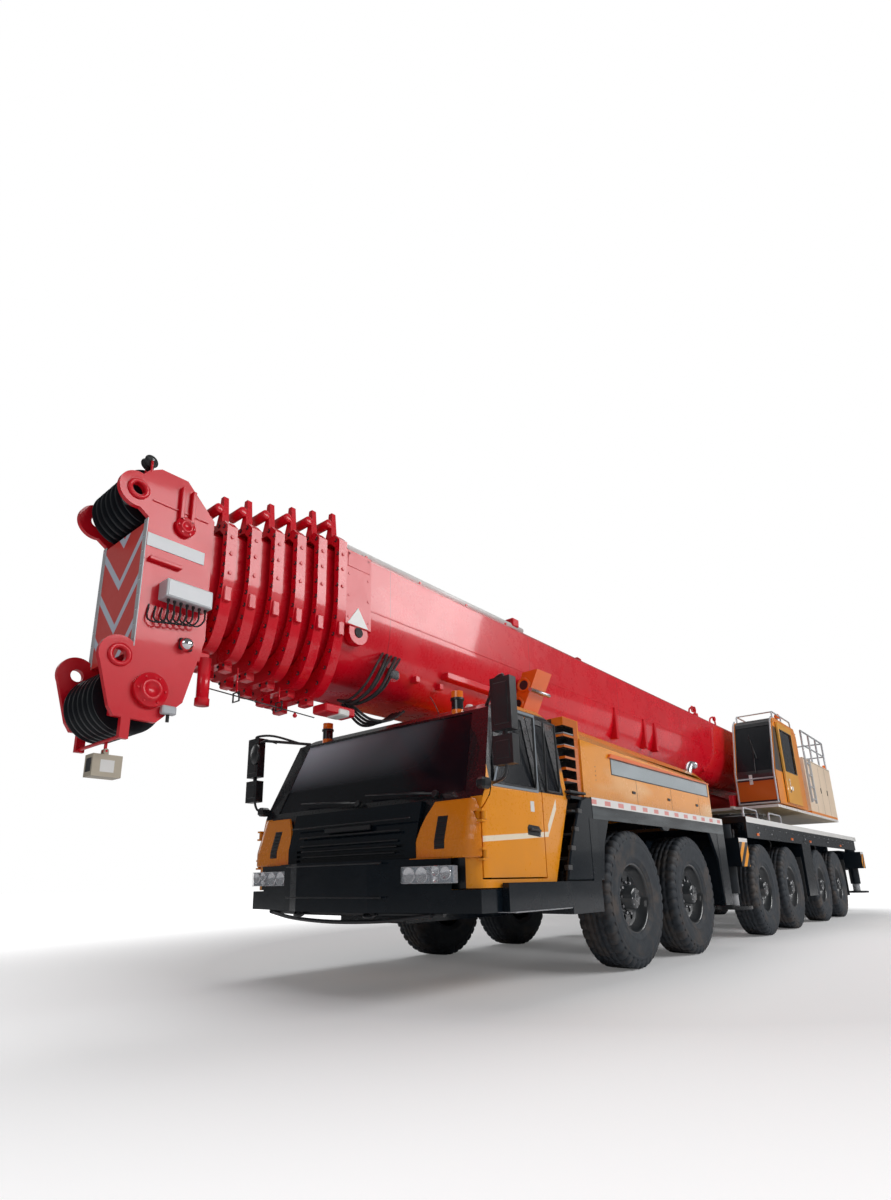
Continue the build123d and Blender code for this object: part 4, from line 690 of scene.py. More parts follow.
def cab_side_fittings():
    """Quarter-window seals, roof rail gutter, beacon feet, antenna, mirror glasses and small mirrors."""
    fit = Fitting()
    for side in (1, -1):
        y = side * 1.425
        ring = np.array([(at(1.640), y, 1.645), (at(1.640), y, 2.286), (at(1.420), y * 0.992, 2.286),
                         (at(1.405), y, 1.645)])
        fit.pipe(np.concatenate([np.linspace(ring[i], ring[(i + 1) % 4], 6)[:-1] for i in range(4)]), 0.011, 0, 6, True)
        fit.disc((at(2.23), side * 0.9, 2.47), (0, 0, 1), 0.064, 0.022, 0, 24)
        arm = [(at(2.28), side * 1.28, 2.38), (at(2.50), side * 1.50, 2.47), (at(2.605), side * 1.66, 2.47),
               (at(2.605), side * 1.66, 2.42)]
        fit.pipe(smooth_line(arm, 16), 0.013, 0, 8)
        fit.pipe(smooth_line([(at(2.60), side * 1.66, 1.76), (at(2.58), side * 1.62, 1.66), (at(2.54), side * 1.50, 1.63),
                              (at(2.50), side * 1.44, 1.64)], 14), 0.013, 0, 8)
        for z0, z1 in ((2.02, 2.43), (1.75, 1.96)):
            fit.box(at(2.556), at(2.561), *sorted((side * 1.575, side * 1.745)), z0 + 0.01, z1 - 0.01, 2, 0.002)
            fit.box(at(2.585), at(2.656), *sorted((side * 1.578, side * 1.742)), z0 + 0.02, z1 - 0.02, 0, 0.02)
        fit.box(at(2.56), at(2.68), *sorted((side * 1.40, side * 1.49)), 1.575, 1.665, 0, 0.02)
        fit.box(at(1.30), at(2.15), *sorted((side * 1.255, side * 1.270)), 2.375, 2.390, 0, 0.004)
    fit.pipe([(at(2.50), -1.44, 2.38), (at(2.58), -1.52, 2.42), (at(2.66), -1.60, 2.36)], 0.011, 0, 8)
    fit.turned([(0, 1e-5), (0.0, 0.10), (0.012, 0.118), (0.03, 0.112), (0.05, 0.07), (0.058, 1e-5)],
               (at(2.64), -1.60, 2.26), (1, -0.25, 0), 28, 0)
    fit.pipe(smooth_line([(at(1.95), 0.45, 2.47), (at(2.03), 0.42, 2.62), (at(2.12), 0.36, 2.74)], 10), 0.004, 0, 6)
    fit.turned([(0, 0.05), (0.03, 0.048), (0.055, 0.03), (0.062, 1e-5)], (at(1.85), 0.75, 2.475), (0, 0, 1), 20, 1)
    fit.done("cab_side_fittings", "root", [plastic, white, chrome])


def sill_fittings():
    """Silver sill under the doors, tread on the step, side markers, blank white plate."""
    fit = Fitting()
    for side in (1, -1):
        y = side * 1.4985
        fit.box(at(1.02), at(2.40), *sorted((y - side * 0.004, y + side * 0.001)), 0.845, 0.866, 0, 0.002)
        fit.box(at(1.43), at(2.33), *sorted((side * 1.21, side * 1.494)), 0.640, 0.666, 0, 0.004)
        fit.box(at(1.45), at(2.32), *sorted((side * 1.22, side * 1.490)), 0.6655, 0.670, 1, 0.001)
        fit.slab([(at(2.28), 0.775), (at(2.41), 0.80), (at(2.41), 0.70), (at(2.33), 0.70)],
                 *sorted((y - side * 0.003, y + side * 0.001)), "y", 0, 0.001)
        for x, z in ((2.36, 0.828), (0.86, 1.49), (-0.80, 1.47), (-2.576, 1.455), (-4.50, 1.50), (-6.6, 1.50),
                     (-8.0, 1.50), (-10.9, 1.50)):
            fit.box(at(x) - 0.055, at(x) + 0.055, *sorted((side * 1.486, side * 1.4992)), z - 0.021, z + 0.021, 2, 0.004)
        for x in (0.93, 0.90):
            fit.box(at(x) - 0.012, at(x) + 0.012, *sorted((side * 1.49, side * 1.499)), 1.26, 1.37, 3, 0.002)
    fit.done("sill_fittings", "root", [silver, tread_plate, amber, lamp_red])


def fenders():
    """Dark arch panels between the wheels, mud flaps, and the rungs behind the cab."""
    fit = Fitting()
    for side in (1, -1):
        low, high = sorted((side * 1.46, side * 1.497))
        for x in (-0.825,):
            fit.slab([(at(x) - 0.20, 1.50), (at(x) + 0.20, 1.50), (at(x) + 0.07, 1.40), (at(x) - 0.07, 1.40)],
                     low, high, "y", 0, 0.004)
        fit.slab([(at(1.50), 0.87), (at(1.44), 1.06), (at(1.33), 1.30), (at(1.22), 1.50), (at(1.15), 1.60),
                  (at(1.04), 1.636), (at(0.90), 1.636), (at(0.90), 1.50), (at(0.45), 1.50), (at(0.62), 1.42),
                  (at(0.74), 1.20), (at(0.80), 0.90), (at(0.80), 0.87)], low, high, "y", 0, 0.012)
        fit.box(at(0.95), at(1.30), *sorted((side * 1.12, side * 1.47)), 1.60, 1.636, 0, 0.006)
        for k in range(4):
            z, back = 0.96 + k * 0.17, 1.50 - k * 0.085
            fit.box(at(back - 0.09), at(back - 0.012), low - 0.002, high + 0.002, z, z + 0.045, 2, 0.004)
        fit.slab([(at(-2.83), 1.50), (at(-2.70), 0.52), (at(-2.54), 0.52), (at(-2.50), 1.10), (at(-2.28), 1.42),
                  (at(-2.2), 1.50)], low, high, "y", 0, 0.004)
        for z in (1.06, 1.27, 1.48, 1.66):
            fit.box(at(0.99), at(1.30), *sorted((side * 1.20, side * 1.47)), z, z + 0.022, 1, 0.004)
        for x in (-5.62, -7.45):
            fit.slab([(at(x), 1.47), (at(x) - 0.01, 1.50), (at(x) - 0.30, 1.50), (at(x) - 0.22, 1.44)],
                     low, high, "y", 0, 0.003)
        for x in AXLES[3:4] + AXLES[5:]:
            fit.box(x - 0.745, x - 0.735, *sorted((side * 1.08, side * 1.46)), 0.42, 1.20, 2, 0.002)
    fit.done("fender_panels", "root", [frame_dark, tread_plate, hose])


headlamp_units()
cab_front_fittings()
for side, side_name in ((1, "left"), (-1, "right")):
    corner_panel(side, side_name)
    door_fittings(side, side_name)
cab_side_fittings()
sill_fittings()
fenders()


# Hood, decks and the exhaust
def hood_fittings():
    """Intake blades with bright edges, side door seams with latches, and the perforated insert."""
    fit = Fitting()
    for side in (1, -1):
        for k in range(6):
            z = 1.70 + k * 0.1185
            fit.box(at(0.985), at(1.185), *sorted((side * 1.27, side * 1.384)), z + 0.084, z + 0.094, 1, 0.003)
        for x in (-0.35, -1.35, -2.30):
            fit.box(at(x) - 0.0025, at(x) + 0.0025, *sorted((side * 1.396, side * 1.4012)), 1.66, 1.935, 0, 0.0005)
            fit.box(at(x) + 0.05, at(x) + 0.13, *sorted((side * 1.398, side * 1.408)), 1.78, 1.81, 0, 0.004)
        strip = [(at(-2.68), 1.95), (at(0.25), 1.95), (at(0.25), 2.11), (at(-2.68), 2.11)]
        fit.slab(strip, *sorted((side * 1.398, side * 1.4025)), "y", 2, 0.001)
        fit.band(strip, 0.010, *sorted((side * 1.398, side * 1.4045)), "y", 0)
        fit.slab([(at(0.32), 2.115), (at(0.28), 2.160), (at(-2.72), 2.129), (at(-2.72), 2.115)],
                 *sorted((side * 1.365, side * 1.428)), "y", 4, 0.004)
        for k in range(4):
            fit.disc((at(0.62), side * 1.398, 1.85 + k * 0.045), (0, side, 0), 0.006, 0.005, 0, 10)
    for x in (0.2, -0.8, -1.8):
        fit.pipe(smooth_line([(at(x), 0.9, 2.33), (at(x), 0.9, 2.405), (at(x) - 0.16, 0.9, 2.40), (at(x) - 0.16, 0.9, 2.32)],
                             12), 0.008, 3, 8)
    fit.done("hood_fittings", "root", [plastic, silver, mesh_grey, steel, orange])


mesh_grey = Finish("perforated_grey", (0.46, 0.52, 0.55), 0.32, metal=0.3, coat=0.4)
mesh_grey.lay(((mesh_grey.x * 420).sine() * (mesh_grey.z * 420).sine()).over(0.35, 0.2) * 0.7, (0.16, 0.20, 0.23))
# Painted reflection: pale blue streaks laid over the perforated insert
mesh_grey.lay(((mesh_grey.noise(0.8, 2, stretch=(1, 1, 3)) - 0.45) * 2.5).clamped() * 0.6, (0.72, 0.80, 0.84))
hood_fittings()


def rear_deck_fittings():
    """Exhaust behind the hood with its bright sleeve, deck loops, boxes with lids and hinges over the rear axles,
    outrigger bolts and hoses."""
    fit = Fitting()
    bend = np.radians(np.linspace(0, 84, 11))
    rise = [(at(-2.83), 1.12, 1.76), (at(-2.83), 1.12, 2.20)]
    rise += [(at(-2.83) - 0.20 * (1 - math.cos(a)), 1.12, 2.27 + 0.20 * math.sin(a)) for a in bend]
    fit.pipe(rise + [(at(-3.12), 1.12, 2.474)], 0.055, 2, 28)
    fit.turned([(0.0, 0.057), (0.03, 0.070), (0.26, 0.070), (0.28, 0.057)], (at(-2.83), 1.12, 1.90), (0, 0, 1), 28, 0)
    fit.box(at(-2.86), at(-2.74), 1.08, 1.16, 1.93, 1.98, 1, 0.006)
    for side in (1, -1):
        for x0, x1 in ((-4.75, -4.05), (-6.19, -5.45)):
            y = side * 1.45
            fit.pipe([(at(x0), y, 1.73), (at(x0), y, 1.86), (at(x0) + 0.03, y, 1.89), (at(x1) - 0.03, y, 1.89),
                      (at(x1), y, 1.86), (at(x1), y, 1.73)], 0.014, 0, 10)
    for side in (1, -1):
        for x0, x1 in ((-4.9, -4.25), (-5.05, -5.5)):
            fit.box(at(x0), at(x1), *sorted((side * 1.10, side * 1.44)), 1.752, 1.79, 1, 0.01)
        for x in np.arange(-12.7, -4.1, 0.43):
            fit.bolts([(at(x), side * 1.4995, 1.60)], (0, side, 0), 0.010, 0.0004, 2)
        for x in (-4.6, -5.3, -7.6, -9.6, -11.2):
            fit.box(at(x) - 0.17, at(x) + 0.17, *sorted((side * 1.470, side * 1.4905)), 1.47, 1.63, 1, 0.006)
            fit.box(at(x) - 0.02, at(x) + 0.02, *sorted((side * 1.488, side * 1.4965)), 1.52, 1.545, 2, 0.003)
        fit.pipe(smooth_line([(at(-3.93), side * 1.30, 1.56), (at(-3.72), side * 1.36, 1.48), (at(-3.62), side * 1.33, 1.20),
                              (at(-3.66), side * 1.28, 1.0)], 16), 0.012, 3, 8)
    fit.done("rear_deck_fittings", "root", [silver, frame_dark, steel, hose])


def boom_rest_fittings():
    """Rings and dark bores in the horns, stiffening plates on both faces, pins and their heads."""
    fit = Fitting()
    for face, way in ((at(0.75), 1), (at(0.45), -1)):
        for side in (1, -1):
            for y, z, r in ((0.69, 2.98, 0.060), (0.60, 2.78, 0.052)):
                fit.turned([(-0.002, 1e-5), (0.003, r * 0.9), (0.014, r), (0.018, r + 0.006), (0.014, r + 0.024),
                            (-0.002, r + 0.024)], (face, side * y, z), (way, 0, 0), 28, 0)
                fit.disc((face, side * y, z), (way, 0, 0), r * 0.9, 0.006, 1, 28)
            x0, x1 = sorted((face - way * 0.002, face + way * 0.022))
            fit.box(x0, x1, *sorted((side * 0.30, side * 0.33)), 2.44, 2.54, 0, 0.004)
            fit.box(x0, x1, *sorted((side * 0.10, side * 0.13)), 2.44, 2.54, 0, 0.004)
            fit.bolts([(face, side * y, 2.47) for y in (0.45, 0.62, 0.80)], (way, 0, 0), 0.014, 0.014, 2)
    for side in (1, -1):
        fit.bar((at(0.40), side * 0.80, 2.90), (at(0.80), side * 0.80, 2.90), 0.022, 2, 14)
    fit.done("boom_rest_fittings", "root", [orange, plastic, steel])


rear_deck_fittings()
boom_rest_fittings()


# Boom
def half_outline(half, top, bottom, n=14):
    """The boom's left edge in cross view, from the middle of its top round to the middle of its belly."""
    flat, bend = half * 0.45, 3.21
    a = np.radians(np.linspace(0, -90, n))
    side = np.stack((flat + (half - flat) * np.cos(a), bend + (bend - bottom) * np.sin(a)), 1)
    return np.vstack(([(0.0, top), (half - 0.06, top), (half, top - 0.06), (half, bend)], side[1:], [(0.0, bottom)]))


def section_size(n):
    return 0.580 - 0.040 * n, 3.740 - 0.038 * n, 2.560 + 0.036 * n, at(3.450 + 0.190 * n)


def collar_fittings(n):
    """Bolt slots round the collar's front, the bolted pads on the shoulder behind it, and pad bolts."""
    fit = Fitting()
    half, top, bottom, front = section_size(n)
    edge = half_outline(half + 0.026, top + 0.024, bottom - 0.12, 16)
    seg = np.linalg.norm(np.diff(edge, axis=0), axis=1)
    s = np.concatenate(([0], np.cumsum(seg)))
    for at_s in np.linspace(0.30, s[-1] - 0.25, 13):
        u, v = np.interp(at_s, s, edge[:, 0]), np.interp(at_s, s, edge[:, 1])
        for side in (1, -1):
            fit.disc((front - 0.004, side * u, v), (1, 0, 0), 0.017, 0.012, 1, 10, 0.002)
            fit.disc((front + 0.004, side * u, v), (1, 0, 0), 0.009, 0.010, 0, 6, 0.002)
    for side in (1, -1):
        y = side * (half + 0.046)
        for z in (3.30, 3.46, 3.60):
            fit.bolts([(front - 0.045, y - side * 0.003, z - n * 0.03)], (0, side, 0), 0.016, 0.011, 0)
        low, high = sorted((side * (half - 0.05 + 0.046), side * (half + 0.046)))
        fit.box(front - 0.075, front - 0.015, low + 0.003, high + 0.003 * 0, 2.86 + n * 0.012, 2.98 + n * 0.012, 0, 0.006)
        fin = side * (half - 0.14)
        fit.slab([(fin - 0.05, top + 0.05), (fin + 0.05, top + 0.05), (fin + side * 0.015 + 0.02, top + 0.20),
                  (fin + side * 0.015 - 0.02, top + 0.20)], front - 0.045, front - 0.030, "x", 0, 0.002)
        for z in (0.09, 0.15):
            fit.disc((front - 0.044, fin, top + z), (1, 0, 0), 0.012, 0.006, 1, 12)
        fit.turned([(-0.005, 1e-5), (-0.005, 0.036), (0.0, 0.041), (0.17, 0.041), (0.175, 0.036), (0.175, 0.018),
                    (0.165, 0.018), (0.165, 1e-5)], (front - 0.006, fin + side * 0.035, top + 0.20), (0, -side, 0), 20, 0)
        low, high = sorted((side * half * 0.2, side * half * 0.42))
        fit.slab([(front - 0.088, bottom - 0.10), (front - 0.016, bottom - 0.10), (front - 0.016, bottom - 0.225),
                  (front - 0.030, bottom - 0.232), (front - 0.088, bottom - 0.232)], low, high, "y", 0, 0.004)
        pad = side * (half - 0.19)
        fit.box(front - 0.080, front - 0.012, *sorted((pad - 0.045, pad + 0.045)), top + 0.048, top + 0.062, 2, 0.004)
        fit.bolts([(front - 0.062, pad, top + 0.060), (front - 0.030, pad, top + 0.060)], (0, 0, 1), 0.010, 0.010, 1)
        for y in (half * 0.22, half * 0.40):
            fit.bolts([(front - 0.016, side * y, bottom - 0.19)], (1, 0, 0), 0.012, 0.010, 1)
    fit.done(f"collar_fittings_{n + 1}", "boom_base" if n == 0 else f"boom_section_{n + 1}", [boom_red, plastic, silver])


for n in range(6):
    collar_fittings(n)


def base_boom_fittings():
    """Top bracket, side strips, hose bundle under the collar, cable guides, lamp and the white triangle."""
    fit = Fitting()
    for side in (1, -1):
        y = side * 0.622
        low, high = sorted((side * 0.574, y))
        fit.slab([(at(3.06), 2.98), (at(3.365), 2.98), (at(3.365), 3.68), (at(3.06), 3.68)], low, high, "y", 0, 0.006)
        fit.disc((at(3.2), side * 0.55, 2.94), (0, side, 0), 0.11, 0.062, 0, 32)
        fit.box(at(3.085), at(3.345), *sorted((y - side * 0.004, y + side * 0.004)), 3.52, 3.655, 0, 0.004)
        rail = sorted((side * 0.49, side * 0.60))
        fit.box(at(0.77), at(1.99), *rail, 2.805, 2.875, 0, 0.01)
        for x in (-1.77, -2.75, -3.15):
            fit.box(at(x) - 0.035, at(x) + 0.035, *rail, 2.76, 3.21, 0, 0.008)
        for x in (3.10, 3.33):
            for z in (3.05, 3.25, 3.45, 3.64):
                fit.bolts([(at(x), y - side * 0.002, z)], (0, side, 0), 0.012, 0.006, 0)
        fit.disc((at(3.2), side * 0.608, 2.94), (0, side, 0), 0.045, 0.013, 1, 24)
        fit.slab([(at(3.10), 2.99), (at(3.34), 2.99), (at(3.22), 3.16)], *sorted((y, y + side * 0.0042)), "y", 2, 0.001)
        fit.box(at(-9.0), at(3.05), *sorted((side * 0.5785, side * 0.584)), 3.196, 3.214, 0, 0.002)
        for x in (2.7, 2.35, 2.0, -0.3, -4.7, -5.4):
            fit.box(at(x) - 0.03, at(x) + 0.03, *sorted((side * 0.45, side * 0.53)), 2.70, 2.76, 0, 0.006)
    for k, (dx, dz) in enumerate(((0.0, 0.0), (0.055, -0.025), (0.11, 0.0), (0.165, -0.04), (0.22, -0.01))):
        fit.pipe(smooth_line([(at(2.62 + dx), 0.545, 2.86), (at(2.74 + dx), 0.60, 2.74 + dz), (at(2.86 + dx), 0.57, 2.52 + dz),
                              (at(2.98 + dx * 0.7), 0.44, 2.40 + dz * 0.6), (at(3.04 + dx * 0.4), 0.28, 2.42)], 26),
                 0.015 if k % 2 else 0.012, 1, 8)
    for k in range(4):
        fit.pipe(smooth_line([(at(3.02), 0.30 - k * 0.03, 2.42), (at(2.80), 0.34 - k * 0.04, 2.30 - k * 0.012),
                              (at(2.50), 0.30 - k * 0.05, 2.345), (at(2.20), 0.20 - k * 0.05, 2.50)], 22), 0.013, 1, 8)
    fit.box(at(2.70), at(2.80), 0.58, 0.62, 2.63, 2.71, 1, 0.01)
    fit.turned([(0, 0.05), (0.03, 0.052), (0.045, 0.04), (0.05, 1e-5)], (at(2.75), 0.60, 2.66), (0.6, 0.5, -0.5), 20, 3)
    fit.box(at(3.03), at(3.36), 0.22, 0.40, 2.26, 2.335, 0, 0.01)
    fit.box(at(3.10), at(3.22), 0.24, 0.41, 2.25, 2.31, 2, 0.01)
    # Painted highlight: the red pipe along the top of the boom is given the white finish
    fit.bar((at(0.35), 0.44, 3.802), (at(3.37), 0.44, 3.802), 0.042, 2, 16)
    for x in (0.73, 1.48, 2.24, 2.99):
        fit.box(at(x) - 0.02, at(x) + 0.02, 0.398, 0.482, 3.735, 3.80, 0, 0.006)
    fit.pipe([(at(-1.53), -0.24, 3.735), (at(-1.53), -0.24, 3.95), (at(-1.53), -0.20, 3.985), (at(-1.53), 0.20, 3.985),
              (at(-1.53), 0.24, 3.95), (at(-1.53), 0.24, 3.735)], 0.016, 0, 10)
    hoop = np.array([(0, 0.02), (0.02, 0.05), (0.20, 0.05), (0.22, 0.02), (0.20, -0.015), (0.02, -0.015)])
    fit.pipe([(at(-5.2) - u, 0.50, 3.82 + v * 1.5) for u, v in hoop], 0.012, 0, 8, True)
    for x, y in ((-5.2, 0.45), (-5.75, 0.30), (-6.3, 0.45)):
        fit.pipe(smooth_line([(at(x), y, 3.735), (at(x) - 0.05, y, 3.86), (at(x) - 0.28, y, 3.92), (at(x) - 0.35, y, 3.74)], 14),
                 0.016, 0, 8)
        fit.disc((at(x) - 0.30, y - 0.02, 3.90), (0, 1, 0), 0.045, 0.04, 0, 20)
    fit.box(at(0.47), at(0.60), 0.38, 0.50, 3.80, 3.90, 0, 0.01)
    fit.done("base_boom_fittings", "boom_base", [boom_red, hose, white, lens])


def cable_line():
    """The thin taut cable under the collars, in its square guides, with the small bob."""
    fit = Fitting()
    for n, x in ((1, 3.76), (3, 4.15)):
        z = 2.235
        ring = [(at(x), 0.26, z - 0.03), (at(x), 0.34, z - 0.03), (at(x), 0.34, z + 0.04), (at(x), 0.26, z + 0.04)]
        fit.pipe(ring, 0.007, 0, 6, True)
        fit.pipe([(at(x), 0.30, z + 0.04), (at(x), 0.30, 2.36 + 0.036 * n)], 0.007, 1, 6)
    fit.bar((at(3.40), 0.30, 2.212), (at(4.42), 0.30, 2.262), 0.005, 0, 6)
    fit.turned([(0, 1e-5), (0.0, 0.008), (0.02, 0.020), (0.035, 0.012), (0.04, 1e-5)], (at(3.60), 0.30, 2.215), (0, 0, -1), 12, 1)
    fit.done("cable_guides", "boom_section_2", [plastic, boom_red])


def head_fittings():
    """Terminal box with glands and cable loops, ribs, lamp, rollers, boss rings, guard edges and bolts."""
    fit = Fitting()
    y = 0.350
    for side in (1, -1):
        for x, z, r in ((4.707, 3.406, 0.075), (4.840, 2.139, 0.118)):
            fit.turned([(-0.004, 1e-5), (-0.004, r), (0.032, r), (0.036, r - 0.004), (0.036, r * 0.66), (0.046, r * 0.64),
                        (0.046, r * 0.40), (0.040, r * 0.38), (0.040, 1e-5)], (at(x), side * y, z), (0, side, 0), 40, 0)
            fit.bolts(circle_spots(at(x), side * (y + 0.034), z, r * 0.80, 6), (0, side, 0), 0.009, 0.008, 0)
        fit.box(at(4.52), at(4.96), *sorted((side * y, side * (y + 0.008))), 3.52, 3.535, 0, 0.003)
        out = sorted((side * (y - 0.005), side * (y + 0.036)))
        for x in (4.647, 4.732):
            fit.box(at(x), at(x) + 0.03, *out, 3.446, 3.72, 0, 0.005)
        fit.box(at(4.707), at(4.947), *out, 3.06, 3.09, 0, 0.005)
        fit.box(at(5.025), at(5.055), *sorted((side * 0.245, side * 0.349)), 1.945, 2.205, 0, 0.005)
        fit.slab([(at(4.53), 3.17), (at(4.97), 3.17), (at(4.97), 3.27), (at(4.53), 3.27)],
                 *sorted((side * y, side * (y + 0.004))), "y", 3, 0.001)
        for x, z in ((5.066, 3.568), (5.060, 2.338)):
            fit.turned([(0.0, 0.078), (0.012, 0.078), (0.012, 0.047), (0.0, 0.047)], (at(x), side * y, z), (0, side, 0), 32, 0)
        low, high = sorted((side * 0.315, side * 0.352))
        fit.box(at(4.972), at(4.980), *sorted((side * 0.300, side * 0.352)), 2.42, 3.38, 3, 0.002)
        for z in np.arange(2.47, 3.36, 0.11):
            fit.bolts([(at(4.979), side * 0.328, z)], (1, 0, 0), 0.008, 0.006, 2)
    fit.box(at(4.498), at(4.847), 0.345, 0.468, 2.79, 2.925, 3, 0.006)
    fit.box(at(4.510), at(4.835), 0.466, 0.472, 2.80, 2.915, 3, 0.003)
    for k in range(7):
        x = at(4.525 + k * 0.047)
        fit.turned([(0, 0.012), (0.018, 0.012), (0.018, 0.008), (0.034, 0.008), (0.034, 1e-5)], (x, 0.42, 2.792), (0, 0, -1),
                   10, 1)
        fit.pipe(smooth_line([(x, 0.42, 2.76), (x + 0.01, 0.43, 2.70 - 0.01 * k), (x + 0.05, 0.405, 2.655 - 0.008 * k),
                              (x + 0.11, 0.37, 2.69 - 0.01 * k), (x + 0.10, 0.352, 2.74)], 18), 0.0065, 1, 6)
    fit.turned([(0, 0.045), (0.05, 0.045), (0.07, 0.035), (0.075, 1e-5)], (at(4.62), 0.352, 2.52), (0.2, 1, -0.2), 24, 2)
    fit.box(at(4.57), at(4.67), 0.35, 0.375, 2.475, 2.56, 1, 0.008)
    fit.box(at(4.66), at(4.76), 0.35, 0.40, 1.99, 2.05, 3, 0.008)
    fit.pipe([(at(4.71), 0.375, 2.0), (at(4.71), 0.375, 1.94)], 0.012, 1, 8)
    fit.pipe([(at(4.45), 0.34, 2.46), (at(4.45), 0.34, 2.13)], 0.045, 0, 16)
    fit.turned([(0, 0.052), (0.05, 0.052), (0.05, 1e-5)], (at(4.45), 0.34, 2.16), (0, 0, -1), 20, 0)
    fit.box(at(4.42), at(4.52), 0.29, 0.349, 2.42, 2.50, 0, 0.006)
    fit.turned([(-0.03, 1e-5), (-0.03, 0.05), (-0.012, 0.036), (0.012, 0.036), (0.03, 0.05), (0.03, 1e-5)],
               (at(4.99), 0.30, 3.838), (0, 1, 0), 24, 1)
    fit.pipe([(at(4.99), 0.24, 3.838), (at(4.99), 0.36, 3.838)], 0.010, 2, 8)
    fit.pipe([(at(4.99), 0.255, 3.84), (at(4.99), 0.255, 3.74)], 0.009, 0, 6)
    fit.pipe([(at(4.99), 0.345, 3.84), (at(4.99), 0.345, 3.74)], 0.009, 0, 6)
    fit.done("head_fittings", "boom_top", [boom_red, hose, chrome, silver])


base_boom_fittings()
cable_line()
head_fittings()


def weight_label():
    """Blank plate on the switch weight and the chain links over it."""
    fit = Fitting()
    fit.box(at(4.93), at(5.02), 0.1595, 0.1605, 1.60, 1.68, 0, 0.0004)
    fit.box(at(5.0685), at(5.0705), 0.06, 0.14, 1.60, 1.69, 1, 0.0004)
    fit.done("weight_label", "switch_weight", [white, plastic])


weight_label()


# Superstructure
def house_fittings():
    """Panel seams, latches, grab bars, top grilles and the ring's bolts."""
    fit = Fitting()
    for side in (1, -1):
        y = side * 1.440
        for x in (-9.55, -10.2, -10.85):
            fit.box(at(x) - 0.003, at(x) + 0.003, *sorted((y - side * 0.002, y + side * 0.0012)), 2.16, 3.27, 1, 0.0005)
            fit.box(at(x) + 0.05, at(x) + 0.075, *sorted((y, y + side * 0.012)), 2.62, 2.74, 1, 0.004)
        fit.box(at(-11.49), at(-8.89), *sorted((y - side * 0.002, y + side * 0.0015)), 3.262, 3.27, 1, 0.0005)
        for x in (-9.9, -10.5, -11.1):
            fit.box(at(x) - 0.22, at(x) + 0.22, *sorted((side * 0.9, side * 1.3)), 3.29, 3.305, 1, 0.004)
            fit.disc((at(x), side * 1.1, 3.29), (0, 0, 1), 0.17, 0.02, 2, 28)
        for x in np.arange(-11.4, -6.3, 0.42):
            fit.bolts([(at(x), side * 1.4395, 2.085)], (0, side, 0), 0.011, 0.008, 2)
    for side in (1, -1):
        y, end = side * 1.40, side * 0.77
        for z, rad in ((3.94, 0.018), (3.615, 0.016)):
            fit.pipe([(at(-9.30), y, z), (at(-11.40), y, z), (at(-11.44), y - side * 0.04, z), (at(-11.44), end, z)],
                     rad, 0, 10)
        for k in range(4):
            fit.bar((at(-11.40 + k * 0.70), y, 3.28), (at(-11.40 + k * 0.70), y, 3.94), 0.020, 0, 10)
        fit.bar((at(-11.44), end, 3.28), (at(-11.44), end, 3.955), 0.020, 0, 10)
    for x in (-9.37, -8.99):
        fit.box(at(x) - 0.018, at(x) + 0.018, 1.435, 1.48, 2.34, 3.29, 0, 0.006)
    for k in range(4):
        fit.bar((at(-9.37), 1.462, 2.42 + k * 0.257), (at(-8.99), 1.462, 2.42 + k * 0.257), 0.013, 0, 8)
    fit.bolts([(at(-7.6) + 0.83 * math.cos(a), 0.83 * math.sin(a), 2.058) for a in np.arange(0, 6.28, 0.2618)],
              (0, 0, -1), 0.014, 0.020, 2)
    fit.turned([(0.0, 0.045), (0.03, 0.045), (0.03, 0.035), (0.10, 0.032), (0.11, 1e-5)], (at(-11.3), 1.38, 3.29),
               (0, 0, 1), 20, 3)
    fit.done("house_fittings", "superstructure", [silver, plastic, steel, amber])


def operator_cab_fittings():
    """Front guard rail and step, wiper, mirror, lamp, seat and console seen through the glass."""
    fit = Fitting()
    x = at(-6.31)
    for y in (0.775, 1.44):
        fit.pipe([(x, y, 2.16), (x, y, 2.72), (at(-6.63), y, 3.72), (at(-6.75), y, 3.80)], 0.014, 0, 8)
    fit.pipe([(x, 0.775, 2.60), (x, 1.44, 2.60)], 0.013, 0, 8)
    for y in (0.785, 1.43):
        fit.pipe([(at(-8.24), y, 3.78), (at(-8.24), y, 3.90), (at(-8.20), y, 3.93), (at(-6.93), y, 3.93), (at(-6.89), y, 3.90),
                  (at(-6.89), y, 3.78)], 0.015, 0, 8)
        fit.bar((at(-7.53), y, 3.78), (at(-7.53), y, 3.93), 0.014, 0, 8)
    fit.bar((at(-6.93), 0.785, 3.93), (at(-6.93), 1.43, 3.93), 0.013, 0, 8)
    fit.box(at(-6.42), at(-6.29), 0.76, 1.455, 2.135, 2.165, 0, 0.008)
    fit.pipe([(at(-6.30), 1.14, 2.70), (at(-6.50), 1.10, 3.18)], 0.009, 1, 6)
    fit.pipe([(at(-6.40), 1.17, 2.98), (at(-6.60), 1.03, 3.48)], 0.008, 1, 6)
    fit.box(at(-6.34), at(-6.325), 1.00, 1.06, 2.50, 2.68, 2, 0.006)
    fit.turned([(0, 0.05), (0.06, 0.05), (0.09, 0.03), (0.095, 1e-5)], (at(-7.64), 1.35, 3.93), (0, 0, 1), 20, 3)
    fit.pipe([(at(-7.64), 1.35, 3.78), (at(-7.64), 1.35, 3.94)], 0.014, 0, 8)
    fit.box(at(-7.75), at(-7.25), 0.90, 1.32, 2.20, 2.62, 1, 0.03)
    fit.box(at(-7.80), at(-7.65), 0.90, 1.32, 2.60, 3.25, 1, 0.04)
    fit.box(at(-7.05), at(-6.70), 0.85, 1.00, 2.20, 2.80, 1, 0.03)
    fit.done("operator_cab_fittings", "upper_cab", [silver, plastic, white, amber])


